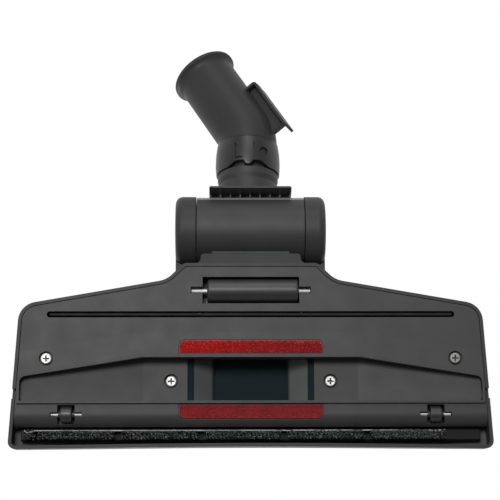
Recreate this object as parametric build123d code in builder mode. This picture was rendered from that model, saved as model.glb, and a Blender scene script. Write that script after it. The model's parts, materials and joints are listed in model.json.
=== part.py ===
from build123d import *
import os
from math import asin, cos, degrees, radians, sin, sqrt

os.makedirs("parts", exist_ok=True)

# Vacuum floor brush head, standing on its roller and wheels with the sole down.
# +X is to the right, +Y forward, +Z up. All sizes are in millimetres.
# The origin is on the floor below the suction mouth.

# Stance
sole_height = 2.0
rim_recess = 0.4

# Plan of the head
head_half_width = 147.2
front_corner_y = 41.4
front_bow = 1.8
front_bow_radius = 5000.0
side_taper = 5.3
rear_corner_y = -46.5
shoulder_x = 52.0
shoulder_y = -62.0
throat_half_width = 41.0
throat_y = -72.4
front_corner_radius = 4.5
rear_corner_radius = 12.0
shoulder_radius = 15.0
throat_corner_radius = 3.0

# Top cover
cover_wall = 2.1
wing_front_height = 23.5
wing_middle_height = 29.5
wing_rear_height = 33.0
crown_radius = 1400.0
hump_front_y = 26.0
hump_front_half_width = 24.0
cover_edge_round = 2.5
cover_lip_angle = 52.0
arm_underside = 20.0
apron_half_width = 31.0
apron_length = 6.5
apron_rise = 3.5
apron_corner_radius = 2.2
apron_root_radius = 3.0
edge_notch_y = 8.0
edge_notch_length = 6.0
edge_notch_height = 4.0

# Sole plate
plate_gap = 0.3
sole_thickness = 2.0
moulding_wall = 1.6
channel_rear_y = -13.9
channel_front_y = 12.4
channel_knee_x = 66.0
channel_end_y = -2.0
channel_end_distance = 6.6
channel_end_radius = 4.0
channel_depth = 10.0
channel_end_depth = 4.0
mouth_half_width = 38.9
lip_front_y = 28.0
lip_height = 6.5
lip_nose_radius = 9.0
lip_nose_reach = 8.0
rear_slot_y = -40.5
rear_slot_width = 3.7
rear_slot_end_distance = 16.9
sole_rise = 0.6
crease_distance = 15.5

# Tilting barrel and neck
barrel_y = -96.0
barrel_z = 24.0
barrel_radius = 21.5
barrel_half_length = 33.6
barrel_wall = 2.0
barrel_gap = 0.5
window_low_angle = 12.0
window_high_angle = 52.0
trunnion_radius = 8.0
trunnion_length = 5.0
running_clearance = 0.05
cheek_width = 12.8
cheek_radius = 22.0
cheek_edge_round = 4.5
neck_tilt = 10.0
neck_shift = -1.3
rib_box_half_width = 25.8
rib_box_rear = 23.2
rib_box_half_height = 19.6
rib_root_drop = 8.0
rib_pocket_count = 8
rib_thickness = 0.9
rib_pocket_ceiling = 5.0
rib_box_wall = 1.2
neck_foot_radius = 19.3
neck_waist_radius = 18.2
neck_waist_distance = 30.5
neck_bore_radius = 14.5
neck_base_length = 37.4
neck_bead_radius = 19.2
neck_bead_start = 33.4
spigot_radius = 16.4
spigot_length = 60.0
swivel_clearance = 0.3

# Swivel seal
seal_width = 3.0
seal_depth = 0.9
seal_offset = 8.0
seal_gap = 0.05

# Swivel collar
collar_radius = 20.1
collar_belly_radius = 20.5
collar_top_radius = 19.4
collar_length = 20.3
collar_gap = 0.4
collar_lip = 1.9
collar_lip_depth = 0.7
collar_notch_width = 15.5
collar_notch_depth = 3.3
collar_notch_slope = 6.0
collar_window_width = 12.5
collar_window_length = 10.5
collar_window_shift = -2.1
collar_hole_radius = 2.6
collar_hole_shift = 9.9
collar_window_position = 10.2
collar_tongue_gap = 0.7

# Elbow
elbow_bend_distance = 65.9
elbow_bend_angle = 32.0
elbow_bend_radius = 22.0
elbow_swivel_angle = 65.7
elbow_leg = 59.5
elbow_sleeve_wall = 1.9
elbow_sleeve_length = 17.5
elbow_radius = 18.8
passage_radius = 14.5
wand_bore_radius = 16.0
wand_bore_depth = 38.0
rim_radius = 21.6
rim_width = 2.4
rim_flare_angle = 60.0
rim_edge_round = 0.8
hook_length = 36.0
hook_start = -10.5
hook_standoff = 6.9
hook_flange_width = 15.0
hook_flange_thickness = 1.7
hook_web_thickness = 5.0
hook_lip = 3.5
hook_end_wall = 1.8
hook_corner_radius = 2.4

# Rear roller
roller_y = -55.5
roller_radius = 7.4
roller_half_length = 27.9
roller_shift = 1.2
roller_hub_radius = 4.5
roller_hub_reach = 0.3
roller_end_round = 1.2
roller_pocket_half_length = 29.7
roller_pocket_gap = 0.8
roller_axle_radius = 1.4
roller_axle_half_length = 36.6
axle_slot_play = 0.7
seat_clearance = 0.02

# Front wheels
wheel_end_distance = 35.0
wheel_y = 20.6
wheel_radius = 5.2
wheel_width = 7.0
wheel_pocket_width = 10.5
wheel_pocket_gap = 0.5
wheel_axle_radius = 1.0
wheel_axle_length = 18.6
wheel_edge_round = 0.8

# Lint strips
strip_half_length = 44.0
rear_strip_y = -20.6
rear_strip_width = 8.4
front_strip_y = 19.0
front_strip_width = 9.0
strip_corner_radius = 4.0
strip_recess = 0.6
strip_thickness = 1.2
strip_gap = 0.2

# Screws
outer_screw_end_distance = 22.3
outer_screw_y = -13.4
inner_screw_x = 49.0
inner_screw_y = -0.3
screw_head_radius = 3.6
screw_head_height = 2.2
screw_seat_radius = 4.3
screw_seat_depth = 2.6
screw_shank_radius = 1.75
screw_length = 12.0
screw_boss_radius = 4.4
screw_play = 0.05
screw_recess_width = 0.9
screw_recess_length = 4.0
screw_recess_depth = 1.2

# Brush frame, bristles and wiper
brush_drop = 7.0
brush_retract = 0.6
brush_y = 32.7
front_bar_width = 7.3
front_bar_end_distance = 7.2
front_bar_height = 2.6
rear_bar_height = 3.0
rear_bar_width = 3.0
bridge_to_wheel = 20.2
bridge_width = 6.0
bridge_thickness = 2.4
bridge_clearance = 0.8
lug_thickness = 2.5
lug_wall = 2.0
lug_slot_rear = 6.6
lug_slot_rise = 1.2
moving_gap = 0.3
bristle_length = 7.0
bristle_backing = 1.6
bristle_width = 6.3
bristle_group_count = 5
bristle_group_gap = 4.2
bristle_end_group = 7.0
bristle_left_distance = 8.95
bristle_right_distance = 19.55
wiper_thickness = 1.5

# Foot pedal
pedal_pivot_y = -47.0
pedal_pivot_z = 36.0
pedal_front_y = -32.0
pedal_rear_y = -67.0
pedal_half_width = 32.5
pedal_thickness = 2.5
pedal_gap = 0.9
pedal_web_inset = 1.4
pedal_web_thickness = 3.0
pedal_boss_radius = 4.0
pedal_pin_radius = 1.5
pedal_peg_y = -22.0
pedal_peg_z = 18.0
pedal_peg_radius = 1.5
pedal_arm_width = 5.0
pin_lug_width = 3.0
pin_lug_length = 9.0
pedal_tread_count = 5
pedal_tread_pitch = 4.0
pedal_tread_depth = 0.6

# Air duct
duct_half_width = 22.3
duct_ceiling_front = 26.5
duct_ceiling_middle = 31.0
duct_panel_half_width = 36.0
duct_panel_rise = 10.0
duct_saddle_low = 9.0
duct_saddle_high = 41.0

# Heights and places that follow from the sizes above
rim_z = sole_height + rim_recess
sole_top = sole_height + sole_thickness
channel_ceiling = sole_height + channel_depth
channel_top = channel_ceiling + moulding_wall
plate_inset = cover_wall + plate_gap
rear_half_width = head_half_width - side_taper
channel_half_length = head_half_width - channel_end_distance
front_bar_half_length = head_half_width - front_bar_end_distance
outer_screw_x = head_half_width - outer_screw_end_distance
wheel_x = head_half_width - wheel_end_distance
bridge_x = wheel_x - bridge_to_wheel
rear_slot_half_length = rear_half_width - rear_slot_end_distance
pedal_web_x = pedal_half_width - pedal_web_inset - pedal_web_thickness
cheek_inner_x = barrel_half_length + barrel_gap
cheek_outer_x = cheek_inner_x + cheek_width
saddle_radius = barrel_radius + barrel_gap
cheek_top = barrel_z + cheek_radius
cover_lip_y = barrel_y + saddle_radius * cos(radians(cover_lip_angle))
brush_tip_z = sole_height + brush_retract
rear_bar_z = sole_top + brush_drop + moving_gap
rear_bar_top = rear_bar_z + rear_bar_height
rear_bar_half_length = rear_slot_half_length - rear_slot_width / 2
front_bar_z = brush_tip_z + bristle_length + bristle_backing
roller_pocket_half_width = roller_radius + roller_pocket_gap
wheel_pocket_half_length = wheel_radius + wheel_pocket_gap
duct_floor = rear_bar_top + moving_gap + moulding_wall
roller_block_half_width = roller_pocket_half_width + moulding_wall
roller_block_top = roller_radius + roller_pocket_half_width + moulding_wall
duct_over_roller = roller_block_top + moving_gap + moulding_wall
pin_half_length = pedal_half_width + pedal_gap + pin_lug_width
above_head = 2 * cheek_top


def hump_height(y):
    """Height of the hump's crest, which runs out level over the barrel."""
    drop = cheek_top - wing_front_height
    reach = hump_front_y - barrel_y
    radius = (reach**2 + drop**2) / (2 * drop)
    return cheek_top - radius + sqrt(radius**2 - (y - barrel_y) ** 2)


def head_outline(inset=0.0):
    """Plan of the head, drawn in by inset all round."""
    right = [
        (head_half_width, front_corner_y),
        (rear_half_width, rear_corner_y),
        (shoulder_x, shoulder_y),
        (throat_half_width, throat_y),
    ]
    radii = [front_corner_radius, rear_corner_radius, shoulder_radius, throat_corner_radius]
    left = [(-x, y) for x, y in reversed(right)]
    with BuildSketch() as plan:
        with BuildLine():
            FilletPolyline(
                (0, front_corner_y - front_bow),
                *right,
                *left,
                radius=[front_bow_radius, *radii, *reversed(radii)],
                close=True,
            )
        make_face()
        if inset:
            offset(amount=-inset)
    return plan.sketch


def wing_body(inset=0.0):
    """Crowned wings of the cover, drawn in by inset on the sides and the top."""
    front_y = front_corner_y + front_corner_radius
    rear_y = throat_y - cover_wall
    crown_base = crown_radius - above_head
    crown_plane = Plane(origin=(0, 0, -crown_radius), x_dir=(0, 1, 0), z_dir=(-1, 0, 0))
    with BuildPart() as wings:
        with BuildSketch(crown_plane):
            with BuildLine():
                crest = ThreePointArc(
                    (front_y, crown_radius + wing_front_height - inset),
                    (0, crown_radius + wing_middle_height - inset),
                    (rear_y, crown_radius + wing_rear_height - inset),
                )
                Polyline(crest @ 1, (rear_y, crown_base), (front_y, crown_base), crest @ 0)
            make_face()
        revolve(axis=Axis((0, 0, -crown_radius), (0, 1, 0)))
        with BuildSketch(Plane.XY.offset(rim_z if not inset else 0)):
            add(head_outline(inset))
        extrude(amount=above_head, mode=Mode.INTERSECT)
        if not inset:
            crown = wings.faces().sort_by(Axis.Z)[-1]
            fillet(crown.edges(), cover_edge_round)
    return wings.part


def hump_body(inset=0.0):
    """Raised spine that widens from the front to the cheeks, drawn in by inset."""
    front_half = hump_front_half_width - inset
    rear_half = cheek_outer_x - inset
    with BuildPart() as hump:
        with BuildSketch(Plane.YZ):
            with BuildLine():
                crest = ThreePointArc(
                    (hump_front_y, hump_height(hump_front_y) - inset),
                    (shoulder_y, hump_height(shoulder_y) - inset),
                    (barrel_y, cheek_top - inset),
                )
                Polyline(
                    crest @ 1,
                    (barrel_y, arm_underside),
                    (hump_front_y, arm_underside),
                    crest @ 0,
                )
            make_face()
        extrude(amount=cheek_outer_x, both=True)
        with BuildSketch():
            with BuildLine():
                Polyline(
                    (front_half, hump_front_y),
                    (rear_half, shoulder_y),
                    (rear_half, barrel_y),
                    (-rear_half, barrel_y),
                    (-rear_half, shoulder_y),
                    (-front_half, hump_front_y),
                    close=True,
                )
            make_face()
        extrude(amount=above_head, mode=Mode.INTERSECT)
    return hump.part


def across(radius, half_length, mode=Mode.ADD):
    """Cylinder along X through the origin of the current location."""
    return Cylinder(radius, 2 * half_length, rotation=(0, 90, 0), mode=mode)


def duct_body(grow=0.0):
    """Passage from the mouth's flared hood over the roller to the barrel, grown by grow."""
    hood_top = channel_top + duct_panel_rise + grow
    mouth_y = (channel_rear_y + channel_front_y) / 2
    mouth_length = channel_front_y - channel_rear_y
    with BuildPart() as duct:
        with BuildSketch(Plane.YZ):
            with BuildLine():
                Polyline(
                    (channel_front_y, channel_top),
                    (channel_rear_y, channel_top),
                    (channel_rear_y, duct_floor),
                    (roller_y + roller_block_half_width + moulding_wall, duct_over_roller),
                    (roller_y - roller_block_half_width - moulding_wall, duct_over_roller),
                    (cover_lip_y, duct_saddle_low),
                    (barrel_y, duct_saddle_low),
                    (barrel_y, duct_saddle_high),
                    (cover_lip_y, duct_saddle_high),
                    (pedal_pivot_y, duct_ceiling_middle),
                    (channel_rear_y, duct_ceiling_front),
                    (channel_front_y, hood_top - duct_panel_rise / 2),
                    close=True,
                )
            make_face()
            if grow:
                offset(amount=grow, kind=Kind.INTERSECTION)
        extrude(amount=duct_half_width + grow, both=True)
        with BuildSketch(Plane.XY.offset(channel_top)):
            with Locations((0, mouth_y)):
                Rectangle(2 * (duct_panel_half_width + grow), mouth_length + 2 * grow)
        with BuildSketch(Plane.XY.offset(hood_top)):
            with Locations((0, mouth_y)):
                Rectangle(2 * (duct_half_width + grow), mouth_length + 2 * grow)
        loft()
        with Locations((0, barrel_y, barrel_z)):
            across(saddle_radius, head_half_width, Mode.SUBTRACT)
    return duct.part


# Inside of the top cover, with the saddle, screw bosses and pin lugs left standing
wing_cavity = wing_body(cover_wall)
hump_cavity = hump_body(cover_wall)
screw_places = [
    (outer_screw_x, outer_screw_y, sole_height),
    (inner_screw_x, inner_screw_y, channel_ceiling),
]
with BuildPart() as cover_cavity:
    add(wing_cavity)
    add(hump_cavity)
    with Locations((0, barrel_y, barrel_z)):
        across(saddle_radius + cover_wall, head_half_width, Mode.SUBTRACT)
    for x, y, seat_z in screw_places:
        boss_z = seat_z + screw_seat_depth + moulding_wall
        with Locations((x, y, boss_z), (-x, y, boss_z)):
            Cylinder(
                screw_boss_radius,
                above_head,
                align=(Align.CENTER, Align.CENTER, Align.MIN),
                mode=Mode.SUBTRACT,
            )
    pin_lug_x = pin_half_length - pin_lug_width / 2
    pin_lug_z = pedal_pivot_z - pedal_boss_radius
    with Locations((pin_lug_x, pedal_pivot_y, pin_lug_z), (-pin_lug_x, pedal_pivot_y, pin_lug_z)):
        Box(
            pin_lug_width,
            pin_lug_length,
            above_head,
            align=(Align.CENTER, Align.CENTER, Align.MIN),
            mode=Mode.SUBTRACT,
        )

# Apron of the top cover, below the front of the barrel
apron_root_x = apron_half_width + 2 * apron_root_radius
with BuildPart() as apron:
    with BuildSketch(Plane.YZ):
        with BuildLine():
            Polyline(
                (throat_y + cover_wall, rim_z),
                (throat_y, rim_z),
                (throat_y - apron_length, rim_z + apron_rise),
                (throat_y - apron_length, barrel_z),
                (throat_y + cover_wall, barrel_z),
                close=True,
            )
        make_face()
    extrude(amount=apron_root_x, both=True)
    with BuildSketch():
        with BuildLine():
            FilletPolyline(
                (apron_root_x, throat_y + cover_wall),
                (apron_root_x, throat_y),
                (apron_half_width, throat_y),
                (apron_half_width, throat_y - apron_length),
                (-apron_half_width, throat_y - apron_length),
                (-apron_half_width, throat_y),
                (-apron_root_x, throat_y),
                (-apron_root_x, throat_y + cover_wall),
                radius=[
                    0,
                    0,
                    apron_root_radius,
                    apron_corner_radius,
                    apron_corner_radius,
                    apron_root_radius,
                    0,
                    0,
                ],
                close=True,
            )
        make_face()
    extrude(amount=barrel_z, mode=Mode.INTERSECT)

# Top cover
wing_shell = wing_body()
hump_shell = hump_body()
duct_clearance = duct_body(moulding_wall + plate_gap)
with BuildPart() as top_cover:
    add(wing_shell)
    add(hump_shell)
    with Locations((0, barrel_y, barrel_z)):
        across(cheek_radius, cheek_outer_x)
    ends = top_cover.faces().filter_by(Axis.X).group_by(Axis.X)
    cheek_rims = (ends[0] + ends[-1]).edges().filter_by(GeomType.CIRCLE)
    spine_edges = top_cover.edges().filter_by(GeomType.ELLIPSE)
    fillet(cheek_rims + spine_edges, cheek_edge_round)
    add(apron.part)
    add(cover_cavity.part, mode=Mode.SUBTRACT)
    with Locations((0, barrel_y, barrel_z)):
        across(saddle_radius, cheek_inner_x, Mode.SUBTRACT)
        bearing_depth = trunnion_length + barrel_gap
        across(trunnion_radius + running_clearance, cheek_inner_x + bearing_depth, Mode.SUBTRACT)
    with Locations((0, cover_lip_y, barrel_z)):
        Box(
            2 * cheek_inner_x,
            above_head,
            above_head,
            align=(Align.CENTER, Align.MAX, Align.MIN),
            mode=Mode.SUBTRACT,
        )
    with BuildSketch(Plane.XY.offset(pin_lug_z)):
        with Locations((0, (pedal_front_y + pedal_rear_y) / 2)):
            Rectangle(
                2 * (pedal_half_width + pedal_gap),
                pedal_front_y - pedal_rear_y + 2 * pedal_gap,
            )
    extrude(amount=above_head, mode=Mode.SUBTRACT)
    with Locations((0, pedal_pivot_y, pedal_pivot_z)):
        across(pedal_pin_radius + seat_clearance, pin_half_length, Mode.SUBTRACT)
    for x, y, seat_z in screw_places:
        with Locations((x, y, seat_z), (-x, y, seat_z)):
            Cylinder(
                screw_shank_radius + screw_play,
                screw_seat_depth + screw_length,
                align=(Align.CENTER, Align.CENTER, Align.MIN),
                mode=Mode.SUBTRACT,
            )
    add(duct_clearance, mode=Mode.SUBTRACT)
    with Locations((0, edge_notch_y, 0)):
        Box(
            4 * head_half_width,
            edge_notch_length,
            sole_height + edge_notch_height,
            align=(Align.CENTER, Align.CENTER, Align.MIN),
            mode=Mode.SUBTRACT,
        )
top_cover.part.label = "top_cover"
export_step(top_cover.part, "parts/top_cover.step")


def channel_body(wall=0.0):
    """Suction channel, deepest over its middle, grown outwards by wall."""
    middle_z = channel_ceiling + wall
    end_z = sole_height + channel_end_depth + wall
    with BuildPart() as channel:
        with BuildSketch(Plane.XZ):
            with BuildLine():
                Polyline(
                    (-head_half_width, 0),
                    (-head_half_width, end_z),
                    (-channel_half_length, end_z),
                    (-channel_knee_x, middle_z),
                    (channel_knee_x, middle_z),
                    (channel_half_length, end_z),
                    (head_half_width, end_z),
                    (head_half_width, 0),
                    close=True,
                )
            make_face()
        extrude(amount=head_half_width, both=True)
        with BuildSketch():
            with BuildLine():
                FilletPolyline(
                    (channel_half_length, channel_front_y),
                    (channel_half_length, channel_end_y),
                    (channel_knee_x, channel_rear_y),
                    (-channel_knee_x, channel_rear_y),
                    (-channel_half_length, channel_end_y),
                    (-channel_half_length, channel_front_y),
                    radius=[0, channel_end_radius, 0, 0, channel_end_radius, 0],
                    close=True,
                )
            make_face()
            if wall:
                offset(amount=wall, kind=Kind.INTERSECTION)
        extrude(amount=above_head, mode=Mode.INTERSECT)
    return channel.part


def lip_body(top, wall=0.0):
    """Front lip with a rounded nose, up to top, drawn in by wall below, behind and in front."""
    nose_radius = lip_nose_radius - wall
    nose_angle = degrees(asin((lip_nose_reach - wall) / nose_radius))
    with BuildPart() as lip:
        with BuildSketch(Plane.YZ):
            with BuildLine():
                flat = Line(
                    (channel_front_y + wall, sole_height + wall),
                    (lip_front_y - lip_nose_reach, sole_height + wall),
                )
                nose = JernArc(flat @ 1, (1, 0), nose_radius, nose_angle)
                Polyline(nose @ 1, (lip_front_y - wall, top), (channel_front_y + wall, top), flat @ 0)
            make_face()
        extrude(amount=head_half_width, both=True)
    return lip.part


def strip_outline(width, round_front, gap=0.0):
    """Plan of a lint strip, with its two front or two rear corners rounded."""
    half_length = strip_half_length + gap
    half_width = width / 2 + gap
    front_radius = strip_corner_radius if round_front else 0
    rear_radius = 0 if round_front else strip_corner_radius
    with BuildSketch() as plan:
        with BuildLine():
            FilletPolyline(
                (half_length, half_width),
                (half_length, -half_width),
                (-half_length, -half_width),
                (-half_length, half_width),
                radius=[front_radius, rear_radius, rear_radius, front_radius],
                close=True,
            )
        make_face()
    return plan.sketch


# Sole plate: blocks that hold the front wheels, shaped under the lip's nose
wheel_places = [(-wheel_x, wheel_y), (wheel_x, wheel_y)]
wheel_block_top = wheel_radius + wheel_pocket_half_length + moulding_wall
lip_form = lip_body(wheel_block_top)
with BuildPart() as wheel_blocks:
    with BuildSketch():
        with Locations(*wheel_places):
            Rectangle(
                wheel_axle_length + 2 * moulding_wall,
                2 * (wheel_pocket_half_length + moulding_wall),
            )
    extrude(amount=wheel_block_top)
    add(lip_form, mode=Mode.INTERSECT)

# Sole plate: recess for the front lint strip, which follows the curve of the lip
recess_floor = lip_body(above_head, strip_recess)
with BuildPart() as front_recess:
    with BuildSketch():
        with Locations((0, front_strip_y)):
            add(strip_outline(front_strip_width, True, strip_gap))
    extrude(amount=channel_ceiling)
    add(recess_floor, mode=Mode.SUBTRACT)

# Sole plate: its underside slopes up from the channel's rear edge to a crease
channel_run = channel_half_length - channel_knee_x
with BuildPart() as rise_cut:
    for side in (0, 1, -1):
        channel_turn = side * (channel_end_y - channel_rear_y)
        edge_plane = Plane(
            origin=(side * channel_knee_x, channel_rear_y, sole_height),
            x_dir=(channel_turn, -channel_run, 0),
            z_dir=(-channel_run, -channel_turn, 0),
        )
        with BuildSketch(edge_plane):
            with BuildLine():
                Polyline(
                    (0, 0),
                    (crease_distance, sole_rise),
                    (head_half_width, sole_rise),
                    (head_half_width, -sole_rise),
                    (0, -sole_rise),
                    close=True,
                )
            make_face()
        extrude(amount=2 * head_half_width, both=True)

# Sole plate
lip_shell = lip_body(sole_height + lip_height)
lip_hollow = lip_body(above_head, moulding_wall)
channel_shell = channel_body(moulding_wall)
channel_hollow = channel_body()
plate_plan = head_outline(plate_inset)
with BuildPart() as sole_plate:
    with BuildSketch(Plane.XY.offset(sole_height)):
        with Locations((0, channel_front_y)):
            Rectangle(4 * head_half_width, 4 * head_half_width, align=(Align.CENTER, Align.MAX))
    extrude(amount=sole_thickness)
    add(lip_shell)
    add(lip_hollow, mode=Mode.SUBTRACT)
    add(wheel_blocks.part)
    add(channel_shell)
    with BuildSketch(Plane.XY.offset(sole_height)):
        with Locations((0, roller_y)):
            Rectangle(
                2 * (roller_axle_half_length + moulding_wall),
                2 * roller_block_half_width,
            )
    extrude(amount=roller_block_top - sole_height)
    for x, y, seat_z in screw_places:
        with Locations((x, y, sole_height), (-x, y, sole_height)):
            Cylinder(
                screw_seat_radius + moulding_wall,
                seat_z + screw_seat_depth + moulding_wall - sole_height,
                align=(Align.CENTER, Align.CENTER, Align.MIN),
            )
    with BuildSketch():
        add(plate_plan)
    extrude(amount=above_head, mode=Mode.INTERSECT)
    add(rise_cut.part, mode=Mode.SUBTRACT)
    add(channel_hollow, mode=Mode.SUBTRACT)
    with Locations((0, edge_notch_y, sole_height)):
        Box(
            2 * head_half_width,
            edge_notch_length,
            edge_notch_height,
            align=(Align.CENTER, Align.CENTER, Align.MIN),
            mode=Mode.SUBTRACT,
        )
    with BuildSketch():
        with Locations((0, (channel_rear_y + channel_front_y) / 2)):
            Rectangle(2 * mouth_half_width, channel_front_y - channel_rear_y)
    extrude(amount=above_head, mode=Mode.SUBTRACT)
    with BuildSketch():
        with Locations((0, roller_y)):
            Rectangle(2 * roller_pocket_half_length, 2 * roller_pocket_half_width)
    extrude(amount=roller_block_top - moulding_wall, mode=Mode.SUBTRACT)
    with BuildSketch():
        with Locations((0, roller_y)):
            Rectangle(
                2 * roller_axle_half_length + 2 * moving_gap,
                2 * (roller_axle_radius + axle_slot_play),
            )
        with Locations(*wheel_places):
            Rectangle(wheel_axle_length + 2 * moving_gap, 2 * (wheel_axle_radius + moving_gap))
    extrude(amount=wheel_radius, mode=Mode.SUBTRACT)
    with BuildSketch():
        with Locations((0, roller_y)):
            Rectangle(
                2 * roller_axle_half_length + 2 * moving_gap,
                2 * (roller_axle_radius + seat_clearance),
            )
    extrude(amount=roller_radius, mode=Mode.SUBTRACT)
    with Locations((0, roller_y, roller_radius)):
        across(roller_axle_radius + seat_clearance, roller_axle_half_length + moving_gap, Mode.SUBTRACT)
    with Locations(*[(x, y, wheel_radius) for x, y in wheel_places]):
        across(wheel_axle_radius + seat_clearance, wheel_axle_length / 2 + moving_gap, Mode.SUBTRACT)
    with BuildSketch():
        with Locations(*wheel_places):
            Rectangle(wheel_pocket_width, 2 * wheel_pocket_half_length)
    extrude(amount=wheel_block_top - moulding_wall, mode=Mode.SUBTRACT)
    with BuildSketch():
        with Locations((0, rear_slot_y)):
            SlotOverall(2 * rear_slot_half_length, rear_slot_width)
    extrude(amount=above_head, mode=Mode.SUBTRACT)
    with BuildSketch():
        with Locations((0, rear_strip_y)):
            add(strip_outline(rear_strip_width, False, strip_gap))
    extrude(amount=sole_height + strip_recess, mode=Mode.SUBTRACT)
    add(front_recess.part, mode=Mode.SUBTRACT)
    for x, y, seat_z in screw_places:
        with Locations((x, y, 0), (-x, y, 0)):
            Cylinder(
                screw_seat_radius,
                seat_z + screw_seat_depth,
                align=(Align.CENTER, Align.CENTER, Align.MIN),
                mode=Mode.SUBTRACT,
            )
            Cylinder(
                screw_shank_radius + screw_play,
                above_head,
                align=(Align.CENTER, Align.CENTER, Align.MIN),
                mode=Mode.SUBTRACT,
            )
sole_plate.part.label = "sole_plate"
export_step(sole_plate.part, "parts/sole_plate.step")

# Lint strips
strip_floor = sole_height + strip_recess
with BuildPart() as rear_lint_strip:
    with BuildSketch(Plane.XY.offset(strip_floor - strip_thickness)):
        with Locations((0, rear_strip_y)):
            add(strip_outline(rear_strip_width, False))
    extrude(amount=strip_thickness)
rear_lint_strip.part.label = "rear_lint_strip"
export_step(rear_lint_strip.part, "parts/rear_lint_strip.step")

pile_face = lip_body(above_head, strip_recess - strip_thickness)
with BuildPart() as front_lint_strip:
    with BuildSketch():
        with Locations((0, front_strip_y)):
            add(strip_outline(front_strip_width, True))
    extrude(amount=channel_ceiling)
    add(recess_floor, mode=Mode.SUBTRACT)
    add(pile_face, mode=Mode.INTERSECT)
front_lint_strip.part.label = "front_lint_strip"
export_step(front_lint_strip.part, "parts/front_lint_strip.step")


# Sole screws
def screw_pair(x, y, seat_z):
    """Two cross-head screws, seated upwards through the sole into the cover's bosses."""
    head_z = seat_z + screw_seat_depth
    with BuildPart() as pair:
        with Locations((x, y, head_z), (-x, y, head_z)):
            Cylinder(
                screw_head_radius,
                screw_head_height,
                align=(Align.CENTER, Align.CENTER, Align.MAX),
            )
            Cylinder(
                screw_shank_radius,
                screw_length,
                align=(Align.CENTER, Align.CENTER, Align.MIN),
            )
        crowns = pair.edges().filter_by(GeomType.CIRCLE).group_by(Axis.Z)[0]
        fillet(crowns, screw_head_height / 2)
        for turn in (0, 90):
            with Locations((x, y, head_z - screw_head_height), (-x, y, head_z - screw_head_height)):
                Box(
                    screw_recess_length,
                    screw_recess_width,
                    screw_recess_depth,
                    rotation=(0, 0, turn),
                    align=(Align.CENTER, Align.CENTER, Align.MIN),
                    mode=Mode.SUBTRACT,
                )
    return pair


for name, place in zip(("sole_screws_outer", "sole_screws_inner"), screw_places):
    screws = screw_pair(*place)
    screws.part.label = name
    export_step(screws.part, f"parts/{name}.step")

# Rear roller and its axle
with BuildPart() as rear_roller:
    with Locations((roller_shift, roller_y, roller_radius)):
        across(roller_radius, roller_half_length)
        fillet(rear_roller.edges().filter_by(GeomType.CIRCLE), roller_end_round)
        across(roller_hub_radius, roller_half_length + roller_hub_reach)
        across(roller_axle_radius + running_clearance, 2 * roller_half_length, Mode.SUBTRACT)
rear_roller.part.label = "rear_roller"
export_step(rear_roller.part, "parts/rear_roller.step")

with BuildPart() as rear_roller_axle:
    with Locations((0, roller_y, roller_radius)):
        across(roller_axle_radius, roller_axle_half_length)
rear_roller_axle.part.label = "rear_roller_axle"
export_step(rear_roller_axle.part, "parts/rear_roller_axle.step")

# Front wheels and their axles
for side, (x, y) in zip(("left", "right"), wheel_places):
    with BuildPart() as front_wheel:
        with Locations((x, y, wheel_radius)):
            across(wheel_radius, wheel_width / 2)
            fillet(front_wheel.edges().filter_by(GeomType.CIRCLE), wheel_edge_round)
            across(2 * wheel_axle_radius, wheel_pocket_width / 2 - moving_gap)
            across(wheel_axle_radius + running_clearance, wheel_pocket_width, Mode.SUBTRACT)
    front_wheel.part.label = f"front_wheel_{side}"
    export_step(front_wheel.part, f"parts/front_wheel_{side}.step")

    with BuildPart() as front_axle:
        with Locations((x, y, wheel_radius)):
            across(wheel_axle_radius, wheel_axle_length / 2)
    front_axle.part.label = f"front_axle_{side}"
    export_step(front_axle.part, f"parts/front_axle_{side}.step")


# Air duct
duct_shell = duct_body(moulding_wall)
duct_hollow = duct_body()
with BuildPart() as air_duct:
    add(duct_shell)
    with BuildSketch(Plane.XY.offset(channel_top)):
        with Locations((0, (channel_rear_y + channel_front_y) / 2)):
            Rectangle(
                2 * (mouth_half_width + moulding_wall),
                channel_front_y - channel_rear_y + 2 * moulding_wall,
            )
    extrude(amount=moulding_wall)
    with Locations((0, channel_rear_y - moulding_wall, channel_top)):
        Box(
            2 * head_half_width,
            2 * head_half_width,
            above_head,
            align=(Align.CENTER, Align.MIN, Align.MAX),
            mode=Mode.SUBTRACT,
        )
    add(duct_hollow, mode=Mode.SUBTRACT)
    with BuildSketch(Plane.XY.offset(channel_top)):
        with Locations((0, (channel_rear_y + channel_front_y) / 2)):
            Rectangle(2 * duct_panel_half_width, channel_front_y - channel_rear_y)
    extrude(amount=moving_gap, mode=Mode.SUBTRACT)
air_duct.part.label = "air_duct"
export_step(air_duct.part, "parts/air_duct.step")


# Tilting barrel with its rib box and neck spigot
tilt = radians(neck_tilt)
neck_way = Vector(0, -cos(tilt), sin(tilt))
neck_up = Vector(0, sin(tilt), cos(tilt))
neck_origin = Vector(neck_shift, barrel_y, barrel_z)
neck_start = Plane(origin=neck_origin, x_dir=(1, 0, 0), z_dir=neck_way)
neck_axis = Axis(neck_origin, neck_way)
neck_section = Plane(origin=neck_origin, x_dir=(1, 0, 0), z_dir=-neck_up)
neck_side = Plane(origin=(0, barrel_y, barrel_z), x_dir=neck_way, z_dir=(-1, 0, 0))
collar_start = neck_base_length + collar_gap
catch_start = collar_start + collar_gap
catch_end = catch_start + collar_lip + 2 * swivel_clearance
seal_end = spigot_length - seal_offset
rib_pitch = (2 * rib_box_half_width - 2 * rib_box_wall + rib_thickness) / rib_pocket_count
rib_plate_front = rib_box_rear - rib_box_wall
rib_root_distance = sqrt(barrel_radius**2 - rib_root_drop**2)
passage_floor = rib_pocket_ceiling - rib_box_wall
window_low = radians(window_low_angle - neck_tilt)
window_high = radians(window_high_angle - neck_tilt)
window_reach = 2 * barrel_radius
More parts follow.
